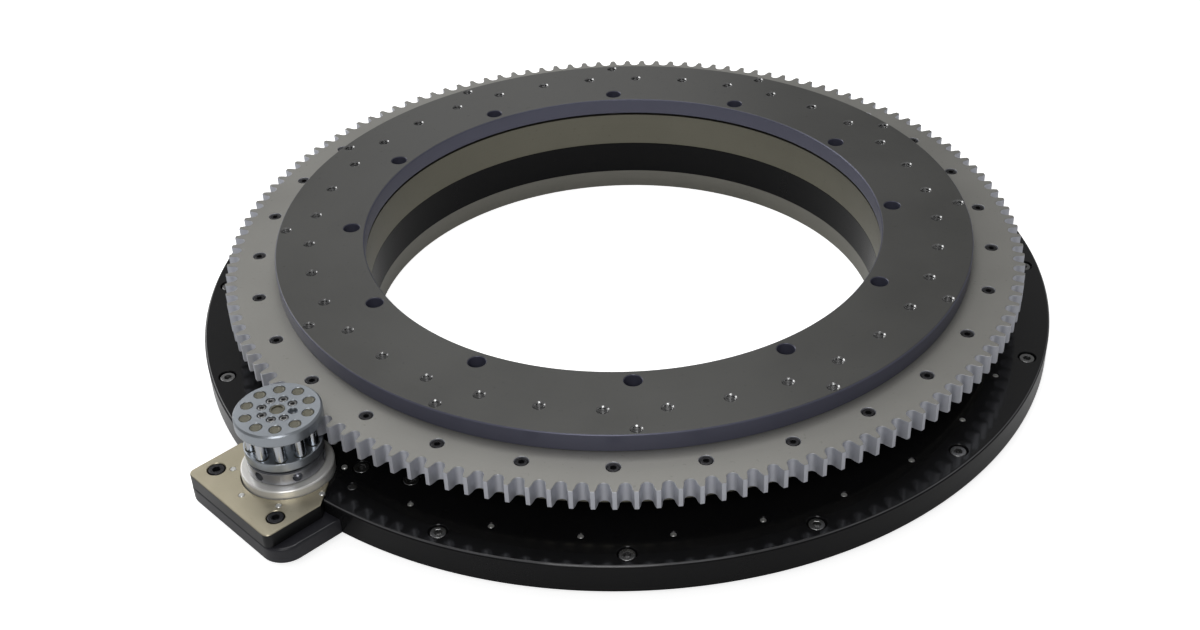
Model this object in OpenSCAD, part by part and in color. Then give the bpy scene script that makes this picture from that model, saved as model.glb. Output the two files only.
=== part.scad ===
// Rotary indexer: a ring table on a crossed roller bearing, driven by a roller pinion
// Millimetres, +Z up. The origin is on the ring's axis at the base plate's underside.

/* [Drive] */
// Teeth on the ring gear
gear_teeth = 140; // [120:10:180]
// Rollers on the pinion
pinion_rollers = 10; // [8:1:12]
// Pitch along the pitch circles
tooth_pitch = 16; // [14:0.5:18]
// Radius of a pinion roller
roller_r = 4.5; // [3.8:0.1:5]
// Running gap between a roller and a tooth
mesh_gap = 0.2; // [0.15:0.05:0.4]
// Height of a tooth's tip above the pitch circle
tooth_tip = 5.5; // [4:0.25:6]
// Thickness of the ring gear
gear_t = 17.5; // [14:0.5:22]

/* [Table] */
// Width of the top plate's rim over the gear
plate_rim = 14; // [12:0.5:18]
// Thickness of the top plate
plate_t = 16; // [14:1:24]
// Distance of the inner work holes' circle from the plate's edge
work_in_rim = 30.4; // [28:0.2:32]
// Distance of the outer work holes' circle from the plate's edge
work_out_rim = 6.7; // [6:0.1:8]
// Radius of a work hole, drilled for an M10 thread
work_hole_r = 4.25; // [3.5:0.05:5]
// Radius of a screwdriver access hole
access_r = 7.5; // [7.2:0.1:8]

/* [Base] */
// Width of the base plate outside its screws' circle
base_rim = 14; // [12:0.5:20]
// Thickness of the base plate
base_t = 26; // [25.5:0.5:28]
// Distance of the base screws' circle outside the gear's pitch circle
base_reach = 18.5; // [17:0.5:22]
// Positions round the base, one of which is left out at the pinion
base_positions = 16; // [12:4:20]
// Height of the pilot ring under the base plate
pilot_drop = 12.7; // [8:0.1:16]
// Width of the pilot ring
pilot_w = 19.5; // [17:0.5:20.5]

/* [Pinion mounting] */
// Direction of the pinion seen from the ring's axis
pinion_dir = 223.15; // [200:0.05:240]
// Thickness of the carrier plate
carrier_t = 14; // [12:0.5:15]
// Half of the carrier plate's width
carrier_half = 67; // [62:0.5:70]
// Distance of the carrier's front from the pinion's axis
carrier_front = 60; // [57:0.5:66]
// Thickness of the adapter plate
adapter_t = 13; // [12:0.5:16]
// Half of the adapter plate's width
adapter_half = 55.5; // [54:0.5:60]
// Radius of the pinion's housing
housing_r = 37.5; // [36:0.25:38]
// Radius of the pinion's upper disc
cap_r = 35; // [34:0.25:37]

/* [Bearings] */
// Radius of the circle through the crossed rollers
cross_r = 266; // [264:0.5:276]
// Width of the standing side, from the opening to the rollers' circle
inner_wall = 30; // [28:0.25:34]
// Diameter of a crossed roller
cross_d = 12; // [10:0.25:12.5]
// Number of crossed rollers
cross_n = 60; // [36:12:72]
// Radius of the pinion shaft at its ball bearings
shaft_r = 17.5; // [16.5:0.25:18]
// Radius of the hollow in the shaft for the drive
drive_bore_r = 10; // [8:0.5:12]

/* [Hidden] */
$fn = 96;

// Fits
seat_gap = 0.03;
thread_gap = 0.05;
part_gap = 0.5;
run_gap = 0.3;

// Heights, each standing on the one below
hub_top = base_t + 13.2;
inner_top = hub_top + 33.6;
plate_z = inner_top + 2.2;
plate_top = plate_z + plate_t;
gear_z = plate_z - gear_t;
flange_t = 10.5;
flange_z = gear_z - flange_t;
cross_z = (hub_top + inner_top) / 2;
outer_low_z = cross_z - 15;

// Pitch circles
ring_pitch_r = gear_teeth * tooth_pitch / (2 * PI);
pinion_pitch_r = pinion_rollers * tooth_pitch / (2 * PI);
centres = ring_pitch_r + pinion_pitch_r;
tip_r = ring_pitch_r + tooth_tip;
gap_r = roller_r + mesh_gap;
root_r = ring_pitch_r - gap_r;
tooth_phase = 0.892;

// Bearing rings
bore_r = cross_r - inner_wall;
ring_in_r = bore_r + 0.5;
hub_r = cross_r - 4;
race_gap = 1;
inner_out_r = cross_r - race_gap;
outer_in_r = cross_r + race_gap;
split_r = outer_in_r + 27.5;
spigot_r = split_r + 7.5;
plate_r = spigot_r + plate_rim;
work_in_r = plate_r - work_in_rim;
work_out_r = plate_r - work_out_rim;
vee_half = cross_d / 2 + 0.05;
vee_tip = vee_half * sqrt(2);
cross_len = cross_d - 0.4;
seal_t = 4.5;
seal_r = outer_in_r + 4;
inner_screw_r = ring_in_r + 12.2;
outer_screw_r = outer_in_r + 14;
gear_screw_share = 0.6365;
gear_screw_r = spigot_r + (root_r - spigot_r) * gear_screw_share;
flange_r = (gear_screw_r + root_r) / 2;
inner_screw_n = 12;
outer_screw_n = 18;
gear_screw_n = 30;
gear_screw_phase = 2.8;
gear_screw_sink = 6.5;
access_depth = 8.5;
work_in_n = 36;
work_in_phase = 5;
work_out_n = 12;
table_dowel_n = 2;
table_dowel_r = 5;
table_dowel_circle = split_r - 3;
table_dowel_phase = 40;

// Pilot
pilot_seat = 5.7;
pilot_step = 1;
pilot_relief = 1;
pilot_r = ring_in_r + pilot_w;
pilot_screw_r = ring_in_r + 9.5;
pilot_screw_phase = 15;
pilot_screw_sink = 6.5;

// Small set screws round the base, two for each base position
base_screw_r = ring_pitch_r + base_reach;
base_r = base_screw_r + base_rim;
base_screw_sink = 9;
plug_r = base_screw_r - 18.4;
plug_hole_depth = 12;
plug_phase = 240.2;
plug_n = 32;
base_phase = 223.3;

// Pinion mounting, measured from the pinion's axis outward
carrier_corner = 20;
carrier_edge = 2.5;
tail_back = 74;
tail_front = 32;
tail_half = 96;
adapter_back = 12;
adapter_slant = 21;
adapter_corner_half = 38;
adapter_corner = 6;
adapter_edge = 0.8;
notch_r = housing_r + 0.8;
drive_screw_r = 58.5;
housing_screw_r = 45;
housing_screw_n = 8;
housing_screw_sink = 5.2;
housing_screw_l = 22;
housing_flange_r = 52;
housing_flange_t = 8;
housing_top = base_t + 8;
housing_lip = 3;
drive_hole_r = 2.1;
drive_circle_r = 32.5;
drive_screw_sink = 8;
drive_screw_l = 16;

// Ball bearings of the pinion
race_w = 10;
race_out_r = shaft_r + 10;
ball_r = 3;
ball_circle_r = shaft_r + 5;
ball_n = 12;
upper_race_z = housing_top - housing_lip - race_w;
lower_race_z = upper_race_z - race_w - 6;
snap_t = 1.8;

// Pinion
neck_z = housing_top + 0.5;
neck_r = 31;
neck_t = 13.5;
disc_z = neck_z + neck_t;
disc_r = 31.5;
disc_t = gear_z - 1 - disc_z;
roller_z = gear_z - 1;
cap_z = plate_z + 1;
cap_t = 11;
cap_top = cap_z + cap_t;
core_r = pinion_pitch_r - roller_r - 2;
journal_r = 3;
cup_r = 4.9;
cup_wall = 1.2;
cup_low_z = roller_z - 7.9;
pinion_screw_circle = 13;
pinion_phase = 58.76;
pinion_screw_phase = 31.6 - pinion_dir;
pinion_screw_n = 7;
pinion_screw_sink = 4.4;
pinion_screw_bore = 2.2;
pinion_dowel_step = 360 / (pinion_screw_n + 1);
plug_depth = 6;
plug_hole_r = 6;
spanner_r = 4;

// Colours
c_black = [0.16, 0.16, 0.16];
c_plate = [0.33, 0.33, 0.32];
c_gear = [0.5, 0.5, 0.48];
c_bright = [0.75, 0.76, 0.78];
c_pinion = [0.6, 0.63, 0.66];
c_beige = [0.64, 0.61, 0.53];
c_bearing = [0.42, 0.41, 0.36];
c_rubber = [0.08, 0.08, 0.08];
c_brass = [0.72, 0.58, 0.3];

// Puts its children at n places round a circle
module around(n, r, first = 0, skip = -1) {
    for (i = [0 : n - 1]) {
        if (i != skip) {
            rotate([0, 0, first + i * 360 / n])
                translate([r, 0, 0])
                    children();
        }
    }
}

// A hole or disc from z0 to z1
module span(r, z0, z1) {
    translate([0, 0, z0])
        cylinder(r = r, h = z1 - z0);
}

// A flat ring from z0 to z1
module band(r_in, r_out, z0, z1) {
    rotate_extrude($fn = 180)
        polygon([[r_in, z0], [r_out, z0], [r_out, z1], [r_in, z1]]);
}

// A socket head cap screw with its head seated at z = 0 and its shank pointing down
module cap_screw(d, length) {
    head_r = 0.8125 * d;
    difference() {
        union() {
            span(head_r, 0, d - 0.4);
            translate([0, 0, d - 0.4])
                cylinder(r1 = head_r, r2 = head_r - 0.4, h = 0.4);
            span(d / 2, -length, 0);
        }
        translate([0, 0, d / 2])
            cylinder(r = 0.43 * d, h = d, $fn = 6);
    }
}

// The hole for a cap screw: counterbore above z = 0, clearance and thread below it
module screw_hole(d, clear, total, rise = 60) {
    head_hole_r = 0.875 * d + 0.5;
    span(head_hole_r, 0, rise);
    span(0.53 * d, -clear, 0.01);
    span(d / 2 + thread_gap, -total, -clear + 0.01);
}

// Everything that belongs to the pinion stands on its axis
module at_pinion() {
    rotate([0, 0, pinion_dir])
        translate([centres, 0, 0])
            children();
}

// Base plate

// Outline of the carrier plate, with its tail under the base plate
module carrier_shape(grow = 0) {
    translate([-tail_back - grow, -tail_half - grow])
        square([tail_back - tail_front + 2 * grow, 2 * (tail_half + grow)]);
    translate([-tail_back, -carrier_half - grow])
        square([tail_back + carrier_front + 40, 2 * (carrier_half + grow)]);
}

// Back edge of the adapter plate, cut at 45 degrees at both corners
module adapter_back_shape(grow = 0) {
    polygon([
        [-adapter_back - grow, -adapter_corner_half - grow],
        [adapter_slant - adapter_back - grow, -adapter_half - grow],
        [carrier_front + 40, -adapter_half - grow],
        [carrier_front + 40, adapter_half + grow],
        [adapter_slant - adapter_back - grow, adapter_half + grow],
        [-adapter_back - grow, adapter_corner_half + grow]
    ]);
}

drive_places = [[1, 1], [1, -1], [-1, 1], [-1, -1]];
drive_leg = drive_screw_r / sqrt(2);
tail_screw_x = -59.4;
tail_screw_y = 82.5;
dowel_x = -22;
dowel_y = 54.7;
carrier_head_z = base_t - drive_screw_sink;

module base_plate() {
    color(c_black)
        difference() {
            rotate_extrude($fn = 360)
                polygon([
                    [ring_in_r, 0], [base_r - 0.8, 0], [base_r, 0.8], [base_r, base_t - 1.5],
                    [base_r - 1.5, base_t], [hub_r, base_t], [hub_r, hub_top], [ring_in_r, hub_top]
                ]);
            span(pilot_r - pilot_step + 0.1, -1, pilot_seat);
            span(pilot_r + pilot_relief, -1, pilot_relief);
            around(base_positions, base_screw_r, base_phase, 0)
                translate([0, 0, base_t - base_screw_sink])
                    screw_hole(8, base_t, base_t);
            around(plug_n, plug_r, plug_phase)
                span(2.5 + thread_gap, base_t - plug_hole_depth, base_t + 1);
            around(inner_screw_n, inner_screw_r)
                span(4 + thread_gap, hub_top - 17, hub_top + 1);
            around(inner_screw_n, pilot_screw_r, pilot_screw_phase)
                span(3 + thread_gap, pilot_seat - 1, pilot_seat + 14);
            at_pinion() {
                translate([0, 0, -1])
                    linear_extrude(carrier_t + 1)
                        carrier_shape(part_gap);
                translate([0, 0, carrier_t - 0.5])
                    linear_extrude(base_t)
                        adapter_back_shape(part_gap);
                span(notch_r, -1, base_t + 1);
                for (s = [1, -1]) {
                    translate([-drive_leg, s * drive_leg, carrier_head_z])
                        screw_hole(8, 20, 20);
                    translate([tail_screw_x, s * tail_screw_y, carrier_head_z])
                        screw_hole(8, 20, 20);
                    translate([dowel_x, s * dowel_y, 0])
                        span(4 + seat_gap, 0, base_t + 1);
                }
                around(housing_screw_n, housing_screw_r)
                    span(2.5 + thread_gap, 0, base_t + 1);
            }
        }
}

module pilot_ring() {
    color(c_bright)
        difference() {
            rotate_extrude($fn = 360)
                polygon([
                    [ring_in_r, -pilot_drop], [pilot_r - 1, -pilot_drop], [pilot_r, 1 - pilot_drop],
                    [pilot_r, 0], [pilot_r - pilot_step, 0], [pilot_r - pilot_step, pilot_seat],
                    [ring_in_r, pilot_seat]
                ]);
            around(inner_screw_n, pilot_screw_r, pilot_screw_phase)
                translate([0, 0, pilot_screw_sink - pilot_drop])
                    mirror([0, 0, 1])
                        screw_hole(6, 40, 40);
        }
}

module pilot_screws() {
    color(c_bright)
        around(inner_screw_n, pilot_screw_r, pilot_screw_phase)
            translate([0, 0, pilot_screw_sink - pilot_drop])
                mirror([0, 0, 1])
                    cap_screw(6, 25);
}

module base_screws() {
    color(c_bright)
        around(base_positions, base_screw_r, base_phase, 0)
            translate([0, 0, base_t - base_screw_sink])
                cap_screw(8, 25);
}

// True where a small set screw would stand over the carrier's opening
function plug_hidden(i) =
    let (off = ((plug_phase + i * 360 / plug_n - pinion_dir + 540) % 360) - 180)
    abs(off) < 10;

module edge_plugs() {
    color(c_bright)
        for (i = [0 : plug_n - 1]) {
            if (!plug_hidden(i)) {
                rotate([0, 0, plug_phase + i * 360 / plug_n])
                    translate([plug_r, 0, 0])
                        difference() {
                            span(2.5, base_t - plug_hole_depth, base_t - 0.3);
                            translate([0, 0, base_t - 3])
                                cylinder(r = 1.4, h = 4, $fn = 6);
                        }
            }
        }
}

// Crossed roller bearing

// Vee groove for the crossed rollers, a square standing on its corner
module vee() {
    translate([cross_r, cross_z])
        rotate(45)
            square(2 * vee_half, center = true);
}

module inner_ring() {
    color(c_bearing)
        difference() {
            rotate_extrude($fn = 360)
                difference() {
                    polygon([
                        [ring_in_r, hub_top], [inner_out_r, hub_top], [inner_out_r, inner_top - 1],
                        [inner_out_r - 1, inner_top], [ring_in_r, inner_top]
                    ]);
                    vee();
                }
            around(inner_screw_n, inner_screw_r)
                translate([0, 0, inner_top - access_depth])
                    screw_hole(8, 60, 60);
        }
}

module inner_ring_screws() {
    color(c_bright)
        around(inner_screw_n, inner_screw_r)
            translate([0, 0, inner_top - access_depth])
                cap_screw(8, 40);
}

module outer_ring_lower() {
    color(c_bearing)
        difference() {
            rotate_extrude($fn = 360)
                difference() {
                    polygon([
                        [outer_in_r, outer_low_z + seal_t + 0.5], [seal_r, outer_low_z + seal_t + 0.5],
                        [seal_r, outer_low_z], [split_r - 0.6, outer_low_z],
                        [split_r - seat_gap, outer_low_z + 0.6], [split_r - seat_gap, cross_z],
                        [outer_in_r, cross_z]
                    ]);
                    vee();
                }
            around(outer_screw_n, outer_screw_r)
                translate([0, 0, outer_low_z + access_depth])
                    mirror([0, 0, 1])
                        screw_hole(8, 60, 60);
        }
}

module outer_ring_upper() {
    color(c_bearing)
        difference() {
            rotate_extrude($fn = 360)
                difference() {
                    polygon([
                        [outer_in_r, cross_z], [split_r, cross_z], [split_r, flange_z],
                        [flange_r - 1, flange_z], [flange_r, flange_z + 1], [flange_r, gear_z],
                        [spigot_r, gear_z], [spigot_r, plate_z], [seal_r, plate_z],
                        [seal_r, plate_z - seal_t - 0.5], [outer_in_r, plate_z - seal_t - 0.5]
                    ]);
                    vee();
                }
            around(outer_screw_n, outer_screw_r)
                span(4.24, cross_z - 1, plate_z + 1);
            around(gear_screw_n, gear_screw_r, gear_screw_phase)
                span(3 + thread_gap, flange_z - 1, gear_z + 1);
            around(table_dowel_n, table_dowel_circle, table_dowel_phase)
                span(table_dowel_r + seat_gap, plate_z - 14, plate_z + 1);
        }
}

module outer_ring_screws() {
    color(c_bright)
        around(outer_screw_n, outer_screw_r)
            translate([0, 0, outer_low_z + access_depth])
                mirror([0, 0, 1])
                    cap_screw(8, 35);
}

module table_dowels() {
    color(c_bright)
        around(table_dowel_n, table_dowel_circle, table_dowel_phase)
            span(table_dowel_r, plate_z - 14, plate_z + 9);
}

module upper_seal() {
    color(c_rubber)
        band(inner_out_r + run_gap, seal_r - seat_gap, plate_z - seal_t - 0.5, plate_z);
}

module lower_seal() {
    color(c_rubber)
        band(inner_out_r + run_gap, seal_r - seat_gap, outer_low_z + 0.5, outer_low_z + seal_t + 0.5);
}

// One roller lying at 45 degrees, every second one the other way
module crossed_rollers() {
    color(c_bright)
        for (i = [0 : cross_n - 1]) {
            rotate([0, 0, (i + 0.5) * 360 / cross_n])
                translate([cross_r, 0, cross_z])
                    rotate([0, i % 2 == 0 ? 45 : -45, 0])
                        cylinder(d = cross_d, h = cross_len, center = true, $fn = 48);
        }
}

module roller_cage() {
    window_h = cross_len * sqrt(2) + 2 * run_gap;
    half_h = window_h / 2 + 1.1;
    color(c_brass)
        difference() {
            band(cross_r - 0.6, cross_r + 0.6, cross_z - half_h, cross_z + half_h);
            for (i = [0 : cross_n - 1]) {
                rotate([0, 0, (i + 0.5) * 360 / cross_n])
                    translate([cross_r, 0, cross_z])
                        cube([4, cross_d + 2 * run_gap, window_h], center = true);
            }
        }
}

// Ring gear

// A roller's path into a tooth gap is an epicycloid; the flank lies one roller beside it
wheel_ratio = ring_pitch_r / pinion_pitch_r;
function flank(t) =
    let (
        lean = (wheel_ratio + 2) / 2 * t,
        x = centres * cos(t) - pinion_pitch_r * cos((wheel_ratio + 1) * t),
        y = centres * sin(t) - pinion_pitch_r * sin((wheel_ratio + 1) * t)
    )
    [x - gap_r * sin(lean), y + gap_r * cos(lean)];
// Turn at which the flank meets the tip circle, found by halving
function flank_end(low, high, left) =
    let (mid = (low + high) / 2)
    left == 0 ? mid :
    norm(flank(mid)) < tip_r ? flank_end(mid, high, left - 1) : flank_end(low, mid, left - 1);
flank_turn = flank_end(0.5, 6, 24);
flank_steps = 3;
root_steps = 6;
root_half = 90 / root_steps;
// One gap from tip to tip: down the first flank, round the root and up the second
gap_points = concat(
    [for (i = [flank_steps : -1 : 0]) let (p = flank(flank_turn * i / flank_steps)) [p[0], -p[1]]],
    [for (i = [1 : root_steps - 1])
        let (a = -90 - i * 2 * root_half, q = gap_r / cos(root_half))
        [ring_pitch_r + q * cos(a), q * sin(a)]],
    [for (i = [0 : flank_steps]) flank(flank_turn * i / flank_steps)]
);
gear_points = [
    for (k = [0 : gear_teeth - 1], p = gap_points)
        let (a = tooth_phase + k * 360 / gear_teeth)
        [p[0] * cos(a) - p[1] * sin(a), p[0] * sin(a) + p[1] * cos(a)]
];

module ring_gear() {
    color(c_gear)
        difference() {
            translate([0, 0, gear_z])
                linear_extrude(gear_t)
                    polygon(gear_points);
            translate([0, 0, gear_z - 1])
                cylinder(r = spigot_r + seat_gap, h = gear_t + 2, $fn = 360);
            around(gear_screw_n, gear_screw_r, gear_screw_phase)
                translate([0, 0, plate_z - gear_screw_sink])
                    screw_hole(6, 40, 40);
        }
}

module gear_screws() {
    color(c_bright)
        around(gear_screw_n, gear_screw_r, gear_screw_phase)
            translate([0, 0, plate_z - gear_screw_sink])
                cap_screw(6, 20);
}

module top_plate() {
    color(c_plate)
        difference() {
            rotate_extrude($fn = 360)
                polygon([
                    [bore_r, plate_z + 0.5], [bore_r + 0.5, plate_z], [plate_r - 0.5, plate_z],
                    [plate_r, plate_z + 0.5], [plate_r, plate_top - 1], [plate_r - 1, plate_top],
                    [bore_r + 1, plate_top], [bore_r, plate_top - 1]
                ]);
            around(inner_screw_n, inner_screw_r)
                span(access_r, plate_z - 1, plate_top + 1);
            around(work_in_n, work_in_r, work_in_phase)
                span(work_hole_r, plate_z - 1, plate_top + 1);
            around(work_out_n, work_out_r)
                span(work_hole_r, plate_z - 1, plate_top + 1);
            around(outer_screw_n, outer_screw_r)
                span(4 + thread_gap, plate_z - 1, plate_z + 12);
            around(table_dowel_n, table_dowel_circle, table_dowel_phase)
                span(table_dowel_r + seat_gap, plate_z - 1, plate_z + 9.5);
        }
}

// Pinion mounting

module pinion_carrier() {
    corner_x = carrier_front - carrier_corner;
    corner_y = carrier_half - carrier_corner;
    color(c_black)
        at_pinion()
            difference() {
                union() {
                    translate([-tail_back, -tail_half, 0])
                        cube([tail_back - tail_front, 2 * tail_half, carrier_t]);
                    translate([-tail_front - 1, -carrier_half, 0])
                        cube([20, 2 * carrier_half, carrier_t]);
                    hull() {
                        translate([-tail_front, -carrier_half, 0])
                            cube([1, 2 * carrier_half, carrier_t - carrier_edge]);
                        translate([-tail_front, carrier_edge - carrier_half, 0])
                            cube([1, 2 * (carrier_half - carrier_edge), carrier_t]);
                        for (s = [1, -1]) {
                            translate([corner_x, s * corner_y, 0]) {
                                cylinder(r = carrier_corner, h = carrier_t - carrier_edge, $fn = 64);
                                cylinder(r = carrier_corner - 1, h = carrier_t - 1, $fn = 64);
                                cylinder(r = carrier_corner - carrier_edge, h = carrier_t, $fn = 64);
                            }
                        }
                    }
                }
                span(housing_flange_r + 0.5, -1, housing_flange_t);
                span(housing_r + 0.1, -1, carrier_t + 1);
                around(housing_screw_n, housing_screw_r)
                    span(2.5 + thread_gap, 0, carrier_t + 1);
                for (s = [1, -1]) {
                    translate([-drive_leg, s * drive_leg, 0])
                        span(4 + thread_gap, 1, carrier_t + 1);
                    translate([drive_leg, s * drive_leg, 0])
                        span(4 + thread_gap, 1, carrier_t + 1);
                    translate([tail_screw_x, s * tail_screw_y, 0])
                        span(4 + thread_gap, 1, carrier_t + 1);
                    translate([dowel_x, s * dowel_y, 0])
                        span(4 + seat_gap, 2, carrier_t + 1);
                }
            }
}

module carrier_screws() {
    color(c_bright)
        at_pinion()
            for (s = [1, -1]) {
                translate([-drive_leg, s * drive_leg, carrier_head_z])
                    cap_screw(8, drive_screw_l);
                translate([tail_screw_x, s * tail_screw_y, carrier_head_z])
                    cap_screw(8, drive_screw_l);
            }
}

module carrier_dowels() {
    color(c_bright)
        at_pinion()
            for (s = [1, -1]) {
                translate([dowel_x, s * dowel_y, 0])
                    span(4, 2, base_t - 0.5);
            }
}

adapter_top = carrier_t + adapter_t;

module adapter_plate() {
    corner_x = carrier_front - adapter_corner;
    corner_y = adapter_half - adapter_corner;
    color(c_beige)
        at_pinion()
            difference() {
                hull()
                    for (e = [[0, 0, adapter_t - adapter_edge], [adapter_edge, 0, adapter_t]]) {
                        for (s = [1, -1]) {
                            translate([corner_x, s * corner_y, carrier_t])
                                cylinder(r = adapter_corner - e[0], h = e[2], $fn = 32);
                            translate([-adapter_back, s * adapter_corner_half - s, carrier_t])
                                cylinder(r = 0.5, h = e[2], $fn = 16);
                            translate([adapter_slant - adapter_back, s * (adapter_half - 1 - e[0]), carrier_t])
                                cylinder(r = 1, h = e[2], $fn = 16);
                        }
                    }
                span(notch_r, carrier_t - 1, adapter_top + 1);
                around(housing_screw_n, housing_screw_r)
                    span(2.5 + thread_gap, carrier_t - 1, adapter_top + 1);
                for (s = [1, -1]) {
                    translate([drive_leg, s * drive_leg, adapter_top - drive_screw_sink])
                        screw_hole(8, 20, 20);
                }
            }
}

module adapter_screws() {
    color(c_bright)
        at_pinion()
            for (s = [1, -1]) {
                translate([drive_leg, s * drive_leg, adapter_top - drive_screw_sink])
                    cap_screw(8, drive_screw_l);
            }
}

module bearing_housing() {
    race_seat_r = race_out_r + seat_gap;
    lip_z = housing_top - housing_lip;
    color(c_bright)
        at_pinion()
            difference() {
                rotate_extrude($fn = 180)
                    polygon([
                        [race_seat_r, 0], [housing_flange_r, 0], [housing_flange_r, housing_flange_t],
                        [housing_r, housing_flange_t], [housing_r, housing_top - 1],
                        [housing_r - 1, housing_top], [race_out_r - 2, housing_top],
                        [race_out_r - 2, lip_z], [race_seat_r, lip_z], [race_seat_r, lower_race_z],
                        [race_seat_r + 1, lower_race_z], [race_seat_r + 1, lower_race_z - snap_t - 0.1],
                        [race_seat_r, lower_race_z - snap_t - 0.1]
                    ]);
                around(housing_screw_n, housing_screw_r)
                    translate([0, 0, housing_screw_sink])
                        mirror([0, 0, 1])
                            screw_hole(5, 20, 20);
                around(4, drive_circle_r, 45)
                    span(drive_hole_r, -1, 12);
            }
}

module housing_screws() {
    color(c_bright)
        at_pinion()
            around(housing_screw_n, housing_screw_r)
                translate([0, 0, housing_screw_sink])
                    mirror([0, 0, 1])
                        cap_screw(5, housing_screw_l);
}

module shaft_seal() {
    color(c_rubber)
        at_pinion()
            band(shaft_r + 3.5 + run_gap, race_out_r - 2 - seat_gap, housing_top - housing_lip, housing_top);
}

// One ball bearing's rings: the groove is a little rounder than the ball
module race(r_in, r_out, z) {
    at_pinion()
        rotate_extrude($fn = 180)
            difference() {
                translate([r_in, z])
                    square([r_out - r_in, race_w]);
                translate([ball_circle_r, z + race_w / 2])
                    circle(r = ball_r + 0.08);
            }
}

module lower_outer_race() {
    color(c_bright)
        race(race_out_r - 3, race_out_r, lower_race_z);
}

module upper_outer_race() {
    color(c_bright)
        race(race_out_r - 3, race_out_r, upper_race_z);
}

module lower_inner_race() {
    color(c_bright)
        race(shaft_r + seat_gap, shaft_r + 3, lower_race_z);
}

module upper_inner_race() {
    color(c_bright)
        race(shaft_r + seat_gap, shaft_r + 3, upper_race_z);
}

module outer_race_spacer() {
    color(c_bright)
        at_pinion()
            band(race_out_r - 2.5, race_out_r, lower_race_z + race_w, upper_race_z);
}

module inner_race_spacer() {
    color(c_bright)
        at_pinion()
            band(shaft_r + seat_gap, shaft_r + 2.5, lower_race_z + race_w, upper_race_z);
}

// An open spring ring, with a gap where the pliers go in
module snap_ring(r_in, r_out, dir) {
    at_pinion()
        difference() {
            band(r_in, r_out, lower_race_z - snap_t, lower_race_z);
            rotate([0, 0, dir])
                translate([0, -4, lower_race_z - snap_t - 1])
                    cube([60, 8, snap_t + 2]);
        }
}

module housing_snap_ring() {
    color(c_black)
        snap_ring(race_out_r - 2, race_out_r + 0.9, 0);
}

module shaft_snap_ring() {
    color(c_black)
        snap_ring(shaft_r - 0.9, shaft_r + 2, 90);
}

module balls(z) {
    at_pinion()
        around(ball_n, ball_circle_r)
            translate([0, 0, z + race_w / 2])
                sphere(r = ball_r, $fn = 48);
}

module ball_cage(z) {
    at_pinion()
        difference() {
            band(ball_circle_r - 0.8, ball_circle_r + 0.8, z + 1.2, z + race_w - 1.2);
            around(ball_n, ball_circle_r)
                translate([-2, 0, z + race_w / 2])
                    rotate([0, 90, 0])
                        cylinder(r = ball_r + 0.15, h = 4, $fn = 48);
        }
}

module lower_balls() {
    color(c_bright)
        balls(lower_race_z);
}

module upper_balls() {
    color(c_bright)
        balls(upper_race_z);
}

module lower_ball_cage() {
    color(c_brass)
        ball_cage(lower_race_z);
}

module upper_ball_cage() {
    color(c_brass)
        ball_cage(upper_race_z);
}

// Roller pinion

module pinion_shaft() {
    shaft_low = lower_race_z - 3;
    color(c_pinion)
        at_pinion()
            difference() {
                rotate_extrude($fn = 180)
                    polygon([
                        [0, shaft_low], [shaft_r - 0.5, shaft_low], [shaft_r, shaft_low + 0.5],
                        [shaft_r, lower_race_z - snap_t - 0.1], [shaft_r - 1, lower_race_z - snap_t - 0.1],
                        [shaft_r - 1, lower_race_z], [shaft_r, lower_race_z],
                        [shaft_r, upper_race_z + race_w], [shaft_r + 3.5, upper_race_z + race_w],
                        [shaft_r + 3.5, neck_z], [neck_r - 1, neck_z], [neck_r, neck_z + 1],
                        [neck_r, disc_z - 2.5], [neck_r - 1, disc_z - 2.5], [neck_r - 1, disc_z], [0, disc_z]
                    ]);
                span(drive_bore_r, shaft_low - 1, neck_z + 3);
                around(pinion_screw_n + 1, pinion_screw_circle, pinion_screw_phase)
                    span(2 + thread_gap, neck_z + 7, disc_z + 1);
                around(6, neck_r, 12)
                    translate([1, 0, neck_z + 6])
                        rotate([0, -90, 0])
                            cylinder(r = spanner_r, h = 7);
            }
}

module pinion_core() {
    color(c_pinion)
        at_pinion()
            difference() {
                rotate_extrude($fn = 180)
                    polygon([
                        [0, disc_z], [disc_r - 1, disc_z], [disc_r, disc_z + 1], [disc_r, disc_z + disc_t - 0.5],
                        [disc_r - 0.5, disc_z + disc_t], [core_r, disc_z + disc_t], [core_r, cap_z], [0, cap_z]
                    ]);
                around(pinion_rollers, pinion_pitch_r, pinion_phase - pinion_dir)
                    span(cup_r + seat_gap, cup_low_z, roller_z + 1);
                around(pinion_screw_n + 1, pinion_screw_circle, pinion_screw_phase)
                    span(pinion_screw_bore, disc_z - 1, cap_z + 1);
            }
}

module pinion_cap() {
    color(c_pinion)
        at_pinion()
            difference() {
                rotate_extrude($fn = 180)
                    polygon([
                        [0, cap_z], [cap_r - 1, cap_z], [cap_r, cap_z + 1], [cap_r, cap_top - 1.5],
                        [cap_r - 1.5, cap_top], [0, cap_top]
                    ]);
                around(pinion_rollers, pinion_pitch_r, pinion_phase - pinion_dir)
                    span(cup_r + seat_gap, cap_z - 1, cap_top + 1);
                around(pinion_screw_n + 1, pinion_screw_circle, pinion_screw_phase, pinion_screw_n)
                    translate([0, 0, cap_top - pinion_screw_sink])
                        screw_hole(4, 20, 20);
                around(pinion_screw_n + 1, pinion_screw_circle, pinion_screw_phase)
                    span(pinion_screw_bore, cap_z - 1, cap_top - 3);
                rotate([0, 0, pinion_screw_phase - pinion_dowel_step])
                    translate([pinion_screw_circle, 0, 0])
                        span(3.25, cap_top - 1, cap_top + 1);
                span(plug_hole_r + seat_gap, cap_top - plug_depth, cap_top + 1);
            }
}

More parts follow.
